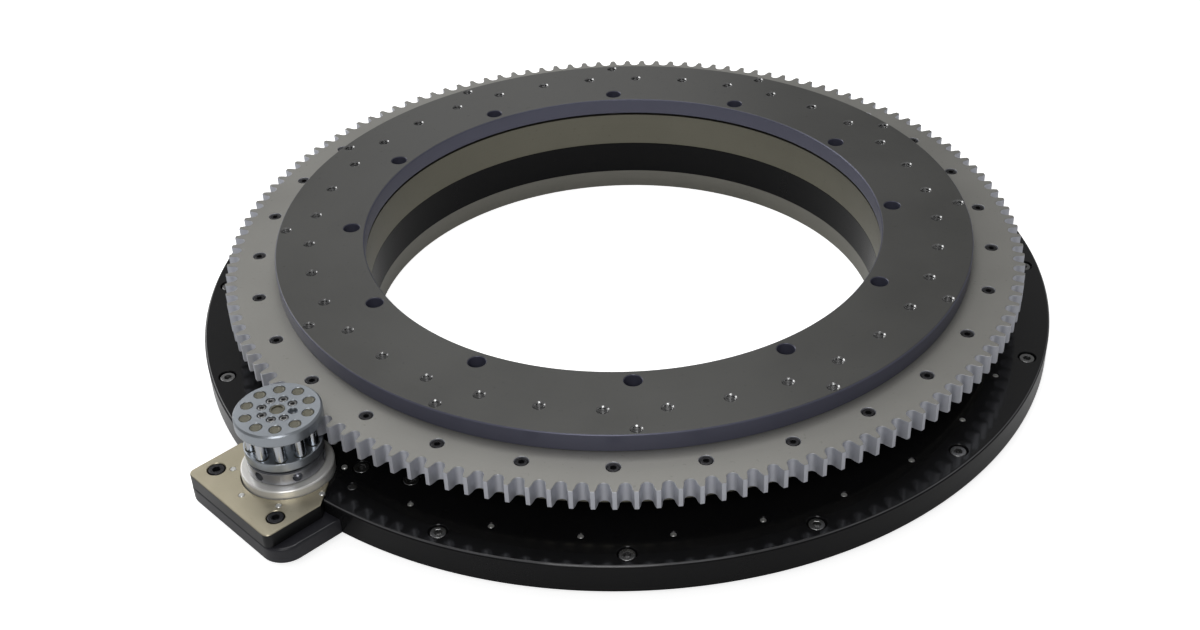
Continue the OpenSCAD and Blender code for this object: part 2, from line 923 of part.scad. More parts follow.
// A drawn cup for a roller's journal, closed at its outer end
module needle_cup(z0, z1, closed_up) {
    difference() {
        span(cup_r, z0, z1);
        if (closed_up) {
            span(journal_r + thread_gap, z0 - 1, z1 - cup_wall);
        } else {
            span(journal_r + thread_gap, z0 + cup_wall, z1 + 1);
        }
    }
}

module upper_needle_cups() {
    color(c_bearing)
        at_pinion()
            around(pinion_rollers, pinion_pitch_r, pinion_phase - pinion_dir)
                needle_cup(cap_z, cap_top - 0.2, true);
}

module lower_needle_cups() {
    color(c_bearing)
        at_pinion()
            around(pinion_rollers, pinion_pitch_r, pinion_phase - pinion_dir)
                needle_cup(cup_low_z, roller_z, false);
}

module pinion_screws() {
    color(c_bright)
        at_pinion()
            around(pinion_screw_n + 1, pinion_screw_circle, pinion_screw_phase, pinion_screw_n)
                translate([0, 0, cap_top - pinion_screw_sink])
                    cap_screw(4, 40);
}

module pinion_dowel() {
    color(c_bright)
        at_pinion()
            rotate([0, 0, pinion_screw_phase - pinion_dowel_step])
                translate([pinion_screw_circle, 0, 0])
                    span(2, neck_z + 7, cap_top - 3);
}

module centre_plug() {
    color(c_bearing)
        at_pinion()
            difference() {
                span(plug_hole_r, cap_top - plug_depth, cap_top - 0.2);
                span(plug_hole_r - 1.5, cap_top - 1.4, cap_top + 1);
            }
}

// One roller: a body that runs on the teeth and a journal at each end
module pinion_roller(i) {
    color(c_bright)
        at_pinion()
            rotate([0, 0, pinion_phase - pinion_dir + (i - 1) * 360 / pinion_rollers])
                translate([pinion_pitch_r, 0, 0]) {
                    span(roller_r, roller_z + run_gap, cap_z - run_gap);
                    span(journal_r, cup_low_z + cup_wall + run_gap, cap_top - cup_wall - run_gap - 0.2);
                }
}

base_plate();
pilot_ring();
pilot_screws();
base_screws();
edge_plugs();
inner_ring();
inner_ring_screws();
pinion_carrier();
carrier_screws();
carrier_dowels();
adapter_plate();
adapter_screws();
bearing_housing();
housing_screws();
shaft_seal();
lower_outer_race();
upper_outer_race();
outer_race_spacer();
housing_snap_ring();
outer_ring_lower();
outer_ring_upper();
outer_ring_screws();
ring_gear();
gear_screws();
top_plate();
table_dowels();
upper_seal();
lower_seal();
crossed_rollers();
roller_cage();
pinion_shaft();
pinion_core();
pinion_cap();
upper_needle_cups();
lower_needle_cups();
pinion_screws();
pinion_dowel();
centre_plug();
lower_inner_race();
upper_inner_race();
inner_race_spacer();
shaft_snap_ring();
lower_balls();
upper_balls();
lower_ball_cage();
upper_ball_cage();
pinion_roller(1);  // pinion_roller_1
pinion_roller(2);  // pinion_roller_2
pinion_roller(3);  // pinion_roller_3
pinion_roller(4);  // pinion_roller_4
pinion_roller(5);  // pinion_roller_5
pinion_roller(6);  // pinion_roller_6
pinion_roller(7);  // pinion_roller_7
pinion_roller(8);  // pinion_roller_8
pinion_roller(9);  // pinion_roller_9
pinion_roller(10);  // pinion_roller_10
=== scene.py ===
"""A rotary indexer: a ring table on a crossed roller bearing, turned by a roller pinion at its rim.

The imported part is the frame. The classes below build the detailed pieces that stand for its nodes, in metres
and in the same place, and give every node that stays its finish.
"""
import logging
import math
from dataclasses import dataclass, field
from enum import Enum

import bmesh
import bpy
from mathutils import Matrix, Vector


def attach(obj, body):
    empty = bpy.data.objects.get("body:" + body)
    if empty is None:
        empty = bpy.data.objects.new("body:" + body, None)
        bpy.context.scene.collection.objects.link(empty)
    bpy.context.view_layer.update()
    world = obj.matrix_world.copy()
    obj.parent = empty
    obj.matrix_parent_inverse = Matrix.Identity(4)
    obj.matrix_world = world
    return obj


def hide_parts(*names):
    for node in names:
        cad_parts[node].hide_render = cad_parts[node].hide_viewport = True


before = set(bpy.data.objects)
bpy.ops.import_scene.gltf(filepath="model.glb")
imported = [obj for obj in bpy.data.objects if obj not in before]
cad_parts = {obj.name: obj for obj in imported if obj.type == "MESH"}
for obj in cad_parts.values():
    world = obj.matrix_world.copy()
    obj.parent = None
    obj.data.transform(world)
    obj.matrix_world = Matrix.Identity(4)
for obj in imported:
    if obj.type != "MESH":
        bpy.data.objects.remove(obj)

LOG = logging.getLogger("rotary_indexer")
MM = 0.001
Point = tuple[float, float]
Point3 = tuple[float, float, float]
Colour = tuple[float, float, float]
Thing = bpy.types.Object
OVERSHOOT = 0.3  # how far a cutter passes the face that it opens, in millimetres
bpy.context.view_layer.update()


def at(x: float, y: float, z: float = 0.0) -> Matrix:
    """A move, in millimetres."""
    return Matrix.Translation((x * MM, y * MM, z * MM))


def polar(radius: float, degrees: float) -> Point:
    """The point at a radius and an angle."""
    angle = math.radians(degrees)
    return radius * math.cos(angle), radius * math.sin(angle)


@dataclass(frozen=True)
class Drive:
    """Sizes of the gearing, in millimetres and degrees."""

    teeth: int = 140
    rollers: int = 10
    pitch: float = 16.0
    roller_r: float = 4.5
    mesh_gap: float = 0.2
    tip: float = 5.5
    tooth_phase: float = 0.892
    pinion_dir: float = 223.15
    pinion_phase: float = 58.76

    @property
    def ring_r(self) -> float:
        """Pitch radius of the ring gear."""
        return self.teeth * self.pitch / (2 * math.pi)

    @property
    def pinion_r(self) -> float:
        """Pitch radius of the pinion, on which its rollers stand."""
        return self.rollers * self.pitch / (2 * math.pi)

    @property
    def centres(self) -> float:
        """Distance from the ring's axis to the pinion's."""
        return self.ring_r + self.pinion_r

    @property
    def pinion_place(self) -> Matrix:
        """Turns and moves a mesh made round the origin to the pinion's axis."""
        turn = Matrix.Rotation(math.radians(self.pinion_dir), 4, "Z")
        return turn @ at(self.centres, 0.0)

    @property
    def pinion_axis(self) -> Point:
        """Where the pinion's axis stands, in millimetres."""
        spot = self.pinion_place.translation / MM
        return (spot.x, spot.y)


DRIVE = Drive()


@dataclass(frozen=True)
class Fastenings:
    """Where the screws and dowels beside the pinion stand, in millimetres from its axis.

    X points away from the table's axis.
    """

    screw_circle: float = 58.5
    tip_circle: float = 45.0
    tip_step: float = 45.0
    tail: Point = (-59.4, 82.5)
    dowel: Point = (-22.0, 54.7)

    @property
    def leg(self) -> float:
        """Both coordinates of the four screws that stand on the circle."""
        return self.screw_circle / math.sqrt(2)

    @property
    def carrier_screws(self) -> list[Point]:
        """Places of the screws that hold the carrier plate."""
        (x, y), leg = self.tail, self.leg
        return [(-leg, leg), (-leg, -leg), (x, y), (x, -y)]

    @property
    def adapter_screws(self) -> list[Point]:
        """Places of the screws that hold the adapter plate."""
        return [(self.leg, self.leg), (self.leg, -self.leg)]

    @property
    def dowels(self) -> list[Point]:
        """Places of the carrier's two dowels."""
        x, y = self.dowel
        return [(x, y), (x, -y)]

    def tips(self, *places: int) -> list[Point]:
        """Places of some of the housing screws, counted from the X axis."""
        return [polar(self.tip_circle, self.tip_step * k) for k in places]


FASTENINGS = Fastenings()


class Marks(Enum):
    """What the last tool left on a surface."""

    TURNED = "rings round an axis"
    GROUND = "fine lines along the piece"
    CAST = "soft grain with no direction"
    LACQUER = "the ripple of a sprayed coat"


class Tone(Enum):
    """How bright a screw's steel is."""

    DARK = "dark"
    GREY = "grey"
    BRIGHT = "bright"


class Value:
    """A number socket that takes part in Python expressions."""

    def __init__(self, nodes: "Nodes", socket: bpy.types.NodeSocket) -> None:
        """Keeps the socket and the tree that new Math nodes go into."""
        self.nodes = nodes
        self.socket = socket

    def _math(self, operation: str, *others: object) -> "Value":
        """Adds one Math node with this value first."""
        return self.nodes.value("ShaderNodeMath", {"operation": operation}, [self, *others])

    def __add__(self, other: "Value | float") -> "Value":
        """Sum."""
        return self._math("ADD", other)

    def __mul__(self, other: "Value | float") -> "Value":
        """Product."""
        return self._math("MULTIPLY", other)

    def below(self, other: object) -> "Value":
        """One where the value is below the other, else zero."""
        return self._math("LESS_THAN", other)

    def above(self, other: object) -> "Value":
        """One where the value is above the other, else zero."""
        return self._math("GREATER_THAN", other)

    def larger(self, other: object) -> "Value":
        """The larger of two values."""
        return self._math("MAXIMUM", other)

    def root(self) -> "Value":
        """Square root."""
        return self._math("SQRT")

    def angle(self, x: "Value") -> "Value":
        """Angle of the point whose y is this value."""
        return self._math("ARCTAN2", x)

    def ramp(self, low: float, high: float) -> "Value":
        """Zero at low, one at high, and a smooth rise between them."""
        settings = {"interpolation_type": "SMOOTHSTEP"}
        return self.nodes.value("ShaderNodeMapRange", settings, [self, low, high, 0.0, 1.0])


class Nodes:
    """A node tree that takes a node and its inputs in one call."""

    def __init__(self, tree: bpy.types.NodeTree) -> None:
        """Keeps the tree."""
        self.tree = tree

    def node(
        self, kind: str, settings: dict[str, object], inputs: list[object] | dict[str, object]
    ) -> bpy.types.Node:
        """Adds a node.

        Args:
            kind: The node's type name.
            settings: Its properties, which are set first.
            inputs: Numbers, sockets or Values, in socket order or by socket name.

        Returns:
            The new node.
        """
        made = self.tree.nodes.new(kind)
        for key, value in settings.items():
            setattr(made, key, value)
        pairs = inputs.items() if isinstance(inputs, dict) else enumerate(inputs)
        for key, value in pairs:
            self.feed(made.inputs[key], value)
        return made

    def feed(self, socket: bpy.types.NodeSocket, value: object) -> None:
        """Links or sets one input socket."""
        if isinstance(value, Value):
            value = value.socket
        if isinstance(value, bpy.types.NodeSocket):
            self.tree.links.new(value, socket)
        else:
            socket.default_value = value

    def value(
        self, kind: str, settings: dict[str, object], inputs: list[object] | dict[str, object]
    ) -> Value:
        """Adds a node and returns its first output as a Value."""
        return Value(self, self.node(kind, settings, inputs).outputs[0])


class Shader(Nodes):
    """One material's node tree."""

    def __init__(self, name: str) -> None:
        """Starts a material with only its output and its shader."""
        self.material = bpy.data.materials.new(name)
        self.material.use_nodes = True
        super().__init__(self.material.node_tree)
        self.surface = self.tree.nodes["Principled BSDF"]

    def noise(self, where: object, scale: float, detail: float = 3.0, flat: bool = False) -> Value:
        """Adds a noise texture and returns its height.

        Args:
            where: A vector socket, or a Value when the noise runs along one line.
            scale: Features per metre.
            detail: Octaves of finer noise.
            flat: True for noise along one line.

        Returns:
            The noise between 0 and 1.
        """
        settings = {"noise_dimensions": "1D" if flat else "3D"}
        key = "W" if flat else "Vector"
        return self.value("ShaderNodeTexNoise", settings, {key: where, "Scale": scale, "Detail": detail})

    def mix(self, share: Value, low: Colour, high: object) -> bpy.types.NodeSocket:
        """Mixes two colours by a share between 0 and 1."""
        made = self.node("ShaderNodeMix", {"data_type": "RGBA"}, {})
        self.feed(made.inputs[0], share)
        self.feed(made.inputs[6], low if isinstance(low, bpy.types.NodeSocket) else (*low, 1.0))
        self.feed(made.inputs[7], high if isinstance(high, bpy.types.NodeSocket) else (*high, 1.0))
        return made.outputs[2]


@dataclass(frozen=True)
class Finish:
    """How one kind of surface looks.

    The marks run round the axis that centre gives, in millimetres; mark_mm is their spacing, and relief_mm
    their depth in the bump. Below the height face_z the surface takes the side colour, where one is given:
    painted light and shade on the walls, a painted sheen or highlight where lamps catch them and painted
    shade where they don't. Faces that look up have top_coat of lacquer, and a painted highlight makes the
    outer edge at the given rim radius and height paler, standing for light caught by its chamfer.
    """

    name: str
    colour: Colour
    tint: Colour
    rough: tuple[float, float]
    metal: float
    marks: Marks
    mark_mm: float = 0.6
    relief_mm: float = 0.01
    centre: Point = (0.0, 0.0)
    specular: float = 0.5
    soil: float = 0.25
    side: Colour | None = None
    face_z: float = 0.0
    top_coat: float = 0.0
    painted_rim_highlight: Point | None = None

    def make(self) -> bpy.types.Material:
        """Builds the material's nodes."""
        shader = Shader(self.name)
        coords = shader.node("ShaderNodeTexCoord", {}, [])
        shift = (-self.centre[0] * MM, -self.centre[1] * MM, 0.0)
        place = shader.node("ShaderNodeMapping", {}, [coords.outputs["Object"], shift]).outputs[0]
        parts = shader.node("ShaderNodeSeparateXYZ", {}, [place])
        x, y, z = (Value(shader, parts.outputs[i]) for i in range(3))
        radius = (x * x + y * y).root()
        blotch = shader.noise(place, 9.0, 4.0).ramp(0.3, 0.7)
        grain = shader.noise(place, 900.0, 2.0)
        lines = self._lines(shader, place, radius, y.angle(x), z)
        specks = shader.noise(place, 260.0, 2.0).ramp(0.66, 0.78)
        tone = lines * 0.45 + blotch * 0.4 + grain * 0.15
        base = shader.mix(tone, self.colour, self.tint)
        dark = tuple(c * 0.6 for c in self.colour)
        base = shader.mix(specks * self.soil, base, dark)
        # Painted light and shade: below face_z the side colour stands in for how the lamps light the walls.
        if self.side is not None:
            edge = self.face_z * MM
            painted_side_light = shader.mix(tone, self.side, tuple(c * 1.3 for c in self.side))
            base = shader.mix(z.ramp(edge - 0.2 * MM, edge), painted_side_light, base)
        # Painted highlight: a paler band on the outer rim's chamfer stands for light caught by that edge.
        if self.painted_rim_highlight is not None:
            reach, top = (size * MM for size in self.painted_rim_highlight)
            rim_highlight_share = radius.ramp(reach - 1.7 * MM, reach - 1.1 * MM) * z.ramp(top - 1.1 * MM, top - 0.5 * MM)
            base = shader.mix(rim_highlight_share * (blotch * 0.5 + 0.4), base, (0.12, 0.12, 0.125))
        low, high = self.rough
        rough = (lines * 0.5 + blotch * 0.3 + grain * 0.2) * (high - low) + low + specks * 0.08
        surface = shader.surface
        shader.feed(surface.inputs["Base Color"], base)
        shader.feed(surface.inputs["Roughness"], rough)
        surface.inputs["Metallic"].default_value = self.metal
        surface.inputs["Specular IOR Level"].default_value = self.specular
        if self.top_coat:
            facing = shader.node("ShaderNodeSeparateXYZ", {}, [coords.outputs["Normal"]])
            upward = Value(shader, facing.outputs[2]).ramp(0.6, 0.95)
            shader.feed(surface.inputs["Coat Weight"], upward * self.top_coat)
        surface.inputs["Coat Roughness"].default_value = 0.08
        height = lines * 0.7 + grain * 0.3
        bump = shader.node(
            "ShaderNodeBump", {}, {"Strength": 0.6, "Distance": self.relief_mm * MM, "Height": height}
        )
        shader.feed(surface.inputs["Normal"], bump.outputs[0])
        return shader.material

    def _lines(
        self, shader: Shader, place: bpy.types.NodeSocket, radius: Value, turn: Value, z: Value
    ) -> Value:
        """Makes the tool marks.

        Args:
            shader: The material being built.
            place: The surface point, measured from the marks' axis.
            radius: Its distance from the axis.
            turn: Its angle round the axis.
            z: Its height.

        Returns:
            The marks between 0 and 1.
        """
        per_metre = 1 / (self.mark_mm * MM)
        if self.marks is Marks.TURNED:
            rings = shader.noise((radius + z * 0.7) * per_metre, 1.0, 2.0, flat=True)
            sweep = shader.value("ShaderNodeCombineXYZ", {}, [radius * per_metre * 0.2, turn * 6.0, z * 60.0])
            return rings * 0.65 + shader.noise(sweep.socket, 1.0, 3.0) * 0.35
        if self.marks is Marks.GROUND:
            long_way = shader.value("ShaderNodeCombineXYZ", {}, [radius * 90.0, turn * 3.0, z * per_metre])
            return shader.noise(long_way.socket, 1.0, 3.0)
        if self.marks is Marks.LACQUER:
            return shader.noise(place, 1 / (2.2 * MM), 1.0)
        return shader.noise(place, per_metre, 4.0)


class Finishes:
    """Every finish of the indexer, each made once."""

    def __init__(self) -> None:
        """Makes the materials."""
        axis = DRIVE.pinion_axis
        turned, ground, cast = Marks.TURNED, Marks.GROUND, Marks.CAST
        self.plate = Finish(
            "dark_plate", (0.062, 0.062, 0.059), (0.092, 0.092, 0.087), (0.3, 0.44), 0.4, turned, 0.5, 0.008,
            # Painted sheen: the plate's walls are painted paler and bluer than its top.
            side=(0.09, 0.092, 0.13), face_z=90.9,
        ).make()
        self.gear = Finish(
            "gear_steel", (0.245, 0.241, 0.224), (0.308, 0.303, 0.283), (0.38, 0.54), 0.6, turned, 0.45,
            # Painted highlight: the gear's flanks and underside are painted brighter and bluer than its top.
            0.008, side=(0.43, 0.44, 0.48), face_z=74.9,
        ).make()
        self.base = Finish(
            "base_lacquer", (0.004, 0.004, 0.0045), (0.007, 0.007, 0.0075), (0.12, 0.24), 0.0, Marks.LACQUER,
            # The rim setting paints a highlight along the base's outer chamfer.
            relief_mm=0.006, specular=0.12, soil=0.1, top_coat=0.6, painted_rim_highlight=(389.0, 26.0),
        ).make()
        self.carrier = Finish(
            "carrier_lacquer", (0.014, 0.014, 0.017), (0.022, 0.022, 0.027), (0.26, 0.4), 0.0, Marks.LACQUER,
            relief_mm=0.008, specular=0.3, soil=0.1, top_coat=0.3,
        ).make()
        self.race = Finish(
            "bearing_steel", (0.15, 0.144, 0.112), (0.2, 0.192, 0.152), (0.3, 0.44), 0.85, turned, 0.7, 0.01
        ).make()
        self.ground = Finish(
            "ground_steel", (0.78, 0.77, 0.74), (0.88, 0.87, 0.84), (0.24, 0.38), 0.5, turned, 0.4, 0.005,
            centre=axis,
        ).make()
        self.pilot = Finish(
            "pilot_steel", (0.2, 0.197, 0.172), (0.27, 0.262, 0.234), (0.24, 0.4), 0.9, turned, 0.5, 0.006
        ).make()
        self.pinion = Finish(
            "pinion_steel", (0.31, 0.335, 0.365), (0.4, 0.43, 0.465), (0.26, 0.4), 0.85, turned, 0.35, 0.005,
            centre=axis,
        ).make()
        self.neck = Finish(
            "neck_steel", (0.28, 0.285, 0.31), (0.36, 0.37, 0.4), (0.25, 0.4), 0.85, turned, 0.35, 0.006,
            centre=axis,
        ).make()
        self.adapter = Finish(
            "adapter_steel", (0.395, 0.358, 0.262), (0.485, 0.44, 0.333), (0.28, 0.44), 0.8, ground, 0.3,
            # Painted shade: the adapter's sides are painted near black.
            0.006, centre=axis, side=(0.02, 0.02, 0.021), face_z=26.5,
        ).make()
        self.screw = Finish(
            "screw_steel", (0.2, 0.2, 0.2), (0.3, 0.3, 0.3), (0.18, 0.32), 0.95, cast, 0.4, 0.004
        ).make()
        self.bright_screw = Finish(
            "bright_screw_steel", (0.55, 0.55, 0.53), (0.7, 0.7, 0.68), (0.22, 0.36), 0.7, cast, 0.4, 0.004
        ).make()
        self.dark_screw = Finish(
            "blackened_screw", (0.022, 0.022, 0.024), (0.045, 0.044, 0.048), (0.2, 0.34), 0.7, cast, 0.4,
            0.004,
        ).make()
        self.thread = Finish(
            "cut_thread", (0.3, 0.3, 0.3), (0.42, 0.42, 0.42), (0.16, 0.28), 1.0, cast, 0.3, 0.003
        ).make()
        self.roller = Finish(
            "roller_steel", (0.42, 0.44, 0.47), (0.54, 0.56, 0.59), (0.12, 0.24), 1.0, ground, 0.25, 0.003,
            centre=axis,
        ).make()
        self.spring = Finish(
            "spring_steel", (0.03, 0.03, 0.034), (0.05, 0.05, 0.055), (0.3, 0.45), 0.6, cast, 0.5, 0.004
        ).make()
        self.brass = Finish(
            "cage_brass", (0.5, 0.37, 0.16), (0.62, 0.47, 0.22), (0.25, 0.4), 1.0, cast, 0.6, 0.006
        ).make()
        self.rubber = Finish(
            "seal_rubber", (0.012, 0.012, 0.012), (0.022, 0.022, 0.022), (0.55, 0.75), 0.0, cast, 0.3, 0.01
        ).make()


class RoundCopies(Nodes):
    """A Geometry Nodes tree that repeats a mesh round the Z axis."""

    def __init__(self) -> None:
        """Builds the tree, whose inputs are named for what they set."""
        super().__init__(bpy.data.node_groups.new("round_copies", "GeometryNodeTree"))
        sides = {"Geometry": "NodeSocketGeometry", "Count": "NodeSocketInt", "First": "NodeSocketFloat"}
        sides |= {"Skip from": "NodeSocketInt", "Skip to": "NodeSocketInt", "Weld": "NodeSocketFloat"}
        sides |= {"Material": "NodeSocketMaterial"}
        face = self.tree.interface
        self.keys = {
            name: face.new_socket(name, in_out="INPUT", socket_type=kind).identifier
            for name, kind in sides.items()
        }
        face.new_socket("Geometry", in_out="OUTPUT", socket_type="NodeSocketGeometry")
        given = self.node("NodeGroupInput", {}, {}).outputs
        points = self.value("GeometryNodePoints", {}, {"Count": given["Count"]})
        index = self.value("GeometryNodeInputIndex", {}, {})
        step = self.value("ShaderNodeMath", {"operation": "DIVIDE"}, [math.tau, given["Count"]])
        spin = self.value("ShaderNodeCombineXYZ", {}, {"Z": index * step + given["First"]})
        shown = index.below(given["Skip from"]).larger(index.above(given["Skip to"]))
        chain = (
            ("GeometryNodeRealizeInstances", {}),
            ("GeometryNodeMergeByDistance", {"Distance": given["Weld"]}),
            ("GeometryNodeSetMaterial", {"Material": given["Material"]}),
        )
        inputs = {"Points": points, "Selection": shown, "Instance": given["Geometry"], "Rotation": spin}
        made = self.value("GeometryNodeInstanceOnPoints", {}, inputs)
        for kind, inputs in chain:
            made = self.value(kind, {}, {"Geometry": made, **inputs})
        self.node("NodeGroupOutput", {}, {"Geometry": made})

    def run(
        self,
        seed: Thing,
        count: int,
        material: bpy.types.Material,
        first: float = 0.0,
        skip: tuple[int, int] = (-1, -1),
        weld: float = 0.0,
    ) -> Thing:
        """Repeats a mesh round the Z axis.

        Args:
            seed: The object to repeat, standing at its first place but for the turn.
            count: How many places there are.
            material: What the copies are made of.
            first: Angle of the first copy in degrees.
            skip: First and last place that stay empty.
            weld: Distance in metres under which vertices join.

        Returns:
            A plain mesh object with all the copies; the seed is removed.
        """
        modifier = seed.modifiers.new("round_copies", "NODES")
        modifier.node_group = self.tree
        values = {
            "Count": count, "First": math.radians(first), "Skip from": skip[0], "Skip to": skip[1],
            "Weld": weld, "Material": material,
        }
        for name, value in values.items():
            modifier[self.keys[name]] = value
        return plain(seed)


def new_object(name: str, verts: list[Point3], faces: list[list[int]]) -> Thing:
    """Makes a mesh object from points in millimetres."""
    mesh = bpy.data.meshes.new(name)
    mesh.from_pydata([(x * MM, y * MM, z * MM) for x, y, z in verts], [], faces)
    mesh.validate()
    thing = bpy.data.objects.new(name, mesh)
    bpy.context.scene.collection.objects.link(thing)
    return thing


def turned_faces(thing: Thing) -> Thing:
    """Makes every face of a closed mesh point outward."""
    work = bmesh.new()
    work.from_mesh(thing.data)
    bmesh.ops.remove_doubles(work, verts=work.verts, dist=1e-7)
    bmesh.ops.recalc_face_normals(work, faces=work.faces)
    work.to_mesh(thing.data)
    work.free()
    return thing


def plain(thing: Thing) -> Thing:
    """Turns an object with modifiers into a plain mesh object of the same name."""
    depsgraph = bpy.context.evaluated_depsgraph_get()
    mesh = bpy.data.meshes.new_from_object(thing.evaluated_get(depsgraph))
    name = thing.name
    bpy.data.objects.remove(thing)
    mesh.name = name
    made = bpy.data.objects.new(name, mesh)
    bpy.context.scene.collection.objects.link(made)
    return made


def softened(points: list[Point], radius: float, steps: int = 3) -> list[Point]:
    """Rounds every corner of a closed outline.

    Args:
        points: The outline's corners.
        radius: Distance from a corner at which its rounding starts.
        steps: Straight pieces in each rounding.

    Returns:
        The rounded outline.
    """
    made: list[Point] = []
    for i, here in enumerate(points):
        before, after = Vector(points[i - 1]), Vector(points[(i + 1) % len(points)])
        corner = Vector(here)
        reach = min(radius, (before - corner).length * 0.45, (after - corner).length * 0.45)
        start = corner + (before - corner).normalized() * reach
        end = corner + (after - corner).normalized() * reach
        for k in range(steps + 1):
            t = k / steps
            spot = start * (1 - t) ** 2 + corner * 2 * t * (1 - t) + end * t**2
            made.append((spot.x, spot.y))
    return made


def lathe(name: str, profile: list[Point], segments: int = 360) -> Thing:
    """Turns a closed profile round the Z axis.

    Args:
        name: The new object's name.
        profile: Points of radius and height in millimetres, anticlockwise.
        segments: Steps round the axis.

    Returns:
        The closed solid.
    """
    verts: list[Point3] = []
    rings: list[list[int]] = []
    for r, z in profile:
        if r < 1e-6:
            rings.append([len(verts)] * segments)
            verts.append((0.0, 0.0, z))
            continue
        rings.append(list(range(len(verts), len(verts) + segments)))
        turns = (math.tau * k / segments for k in range(segments))
        verts.extend((r * math.cos(a), r * math.sin(a), z) for a in turns)
    faces: list[list[int]] = []
    for i, low in enumerate(rings):
        high = rings[(i + 1) % len(rings)]
        if low[0] == low[-1] and high[0] == high[-1]:
            continue
        for k in range(segments):
            n = (k + 1) % segments
            corners = list(dict.fromkeys([low[k], low[n], high[n], high[k]]))
            faces.append(corners)
    return turned_faces(new_object(name, verts, faces))


def loft(name: str, loops: list[list[Point3]]) -> Thing:
    """Joins loops of equal length into a closed solid, with a flat end at both."""
    count = len(loops[0])
    verts = [p for loop in loops for p in loop]
    faces = [list(range(count))[::-1]]
    for i in range(len(loops) - 1):
        for k in range(count):
            n = (k + 1) % count
            faces.append([i * count + k, i * count + n, (i + 1) * count + n, (i + 1) * count + k])
    last = (len(loops) - 1) * count
    faces.append(list(range(last, last + count)))
    return turned_faces(new_object(name, verts, faces))


def ring(r: float, z: float, count: int, hexagon: bool = False) -> list[Point3]:
    """A loop of points round the Z axis, round or six-sided."""
    points = []
    for k in range(count):
        a = math.tau * k / count
        flat = math.cos(math.pi / 6) / math.cos(a % (math.pi / 3) - math.pi / 6) if hexagon else 1.0
        points.append((r * flat * math.cos(a), r * flat * math.sin(a), z))
    return points


def inset(outline: list[Point], amount: float) -> list[Point]:
    """Moves an anticlockwise outline inward by an amount, corner by corner."""
    made: list[Point] = []
    for i, here in enumerate(outline):
        one = (Vector(here) - Vector(outline[i - 1])).normalized()
        two = (Vector(outline[(i + 1) % len(outline)]) - Vector(here)).normalized()
        left = Vector((-one.y - two.y, one.x + two.x))
        if left.length < 1e-9:
            left = Vector((-one.y, one.x))
        left.normalize()
        lean = max(0.35, left.dot(Vector((-one.y, one.x))))
        spot = Vector(here) + left * (amount / lean)
        made.append((spot.x, spot.y))
    return made


def slab(
    name: str, outline: list[Point], z0: float, z1: float, edge: float, low_edge: float = 0.4
) -> Thing:
    """Makes a plate from an anticlockwise outline.

    Args:
        name: The new object's name.
        outline: Its corners in millimetres.
        z0: Height of its underside.
        z1: Height of its top.
        edge: Size of the chamfer round the top.
        low_edge: Size of the chamfer round the underside.

    Returns:
        The plate.
    """
    soft = 0.18 * edge
    levels = [(low_edge, z0), (0.0, z0 + low_edge), (0.0, z1 - edge - soft), (soft * 0.4, z1 - edge)]
    levels += [(edge - soft * 0.6, z1 - soft * 0.6), (edge + soft, z1)]
    loops = [[(x, y, z) for x, y in inset(outline, amount)] for amount, z in levels]
    return loft(name, loops)


def corner_arc(cx: float, cy: float, radius: float, first: float, last: float, steps: int) -> list[Point]:
    """Points along an arc, with both of its ends, from one angle in degrees to another."""
    angles = [math.radians(first + (last - first) * k / steps) for k in range(steps + 1)]
    return [(cx + radius * math.cos(a), cy + radius * math.sin(a)) for a in angles]


def hole_tool(radius: float, z0: float, z1: float, mouth: float = 0.4) -> list[Point]:
    """Profile of a round cutter whose mouth widens at z1 into a small countersink."""
    rim = z1 + OVERSHOOT
    return [(0.0, z0), (radius, z0), (radius, z1 - mouth), (radius + mouth + OVERSHOOT, rim), (0.0, rim)]


@dataclass(frozen=True)
class Cap:
    """Radii of a cap screw's hole and of its counterbore."""

    hole: float
    head: float

    def tool(self, low: float, seat: float, top: float, mouth: float) -> list[Point]:
        """Profile of a cutter.

        Args:
            low: Height of its lower end.
            seat: Height of the counterbore's floor.
            top: Height of the face that it opens.
            mouth: Size of the chamfer round its mouth.

        Returns:
            The profile.
        """
        rim = top + OVERSHOOT
        inner = [(0.0, low), (self.hole, low), (self.hole, seat), (self.head, seat)]
        return inner + [(self.head, top - mouth), (self.head + mouth + OVERSHOOT, rim), (0.0, rim)]


M4 = Cap(2.2, 3.75)
M6 = Cap(3.2, 5.75)
M8 = Cap(4.25, 7.5)
TIP_DRILL = 2.55  # radius of the holes for small screws' tips
HOUSING_HOLE = 38.3  # radius of the holes that the pinion's housing stands in
RING_SCREW_CIRCLE = 248.7  # radius of the circle of the bearing's screws, which show through the top plate


def joined(things: list[Thing]) -> Thing:
    """Puts several objects' meshes into the first of them."""
    with bpy.context.temp_override(active_object=things[0], selected_editable_objects=things):
        bpy.ops.object.join()
    return things[0]


def cut(thing: Thing, tools: list[Thing]) -> Thing:
    """Takes the tools' shapes away from an object, removes them and returns the result."""
    for tool in tools:
        modifier = thing.modifiers.new("cut", "BOOLEAN")
        modifier.operation = "DIFFERENCE"
        modifier.solver = "EXACT"
        modifier.object = tool
    made = plain(thing)
    for tool in tools:
        bpy.data.objects.remove(tool)
    return made


def united(one: Thing, other: Thing) -> Thing:
    """Unites two overlapping tools into one closed mesh."""
    modifier = one.modifiers.new("unite", "BOOLEAN")
    modifier.operation = "UNION"
    modifier.solver = "EXACT"
    modifier.object = other
    made = plain(one)
    bpy.data.objects.remove(other)
    return made


def drill_at(profile: list[Point], x: float, y: float, segments: int = 40) -> Thing:
    """Turns a cutter that stands at a place, in millimetres."""
    made = lathe("drill", profile, segments)
    made.data.transform(at(x, y))
    return made


def drills(profile: list[Point], spots: list[Point], segments: int = 40) -> list[Thing]:
    """Turns the same cutter at several places."""
    return [drill_at(profile, x, y, segments) for x, y in spots]


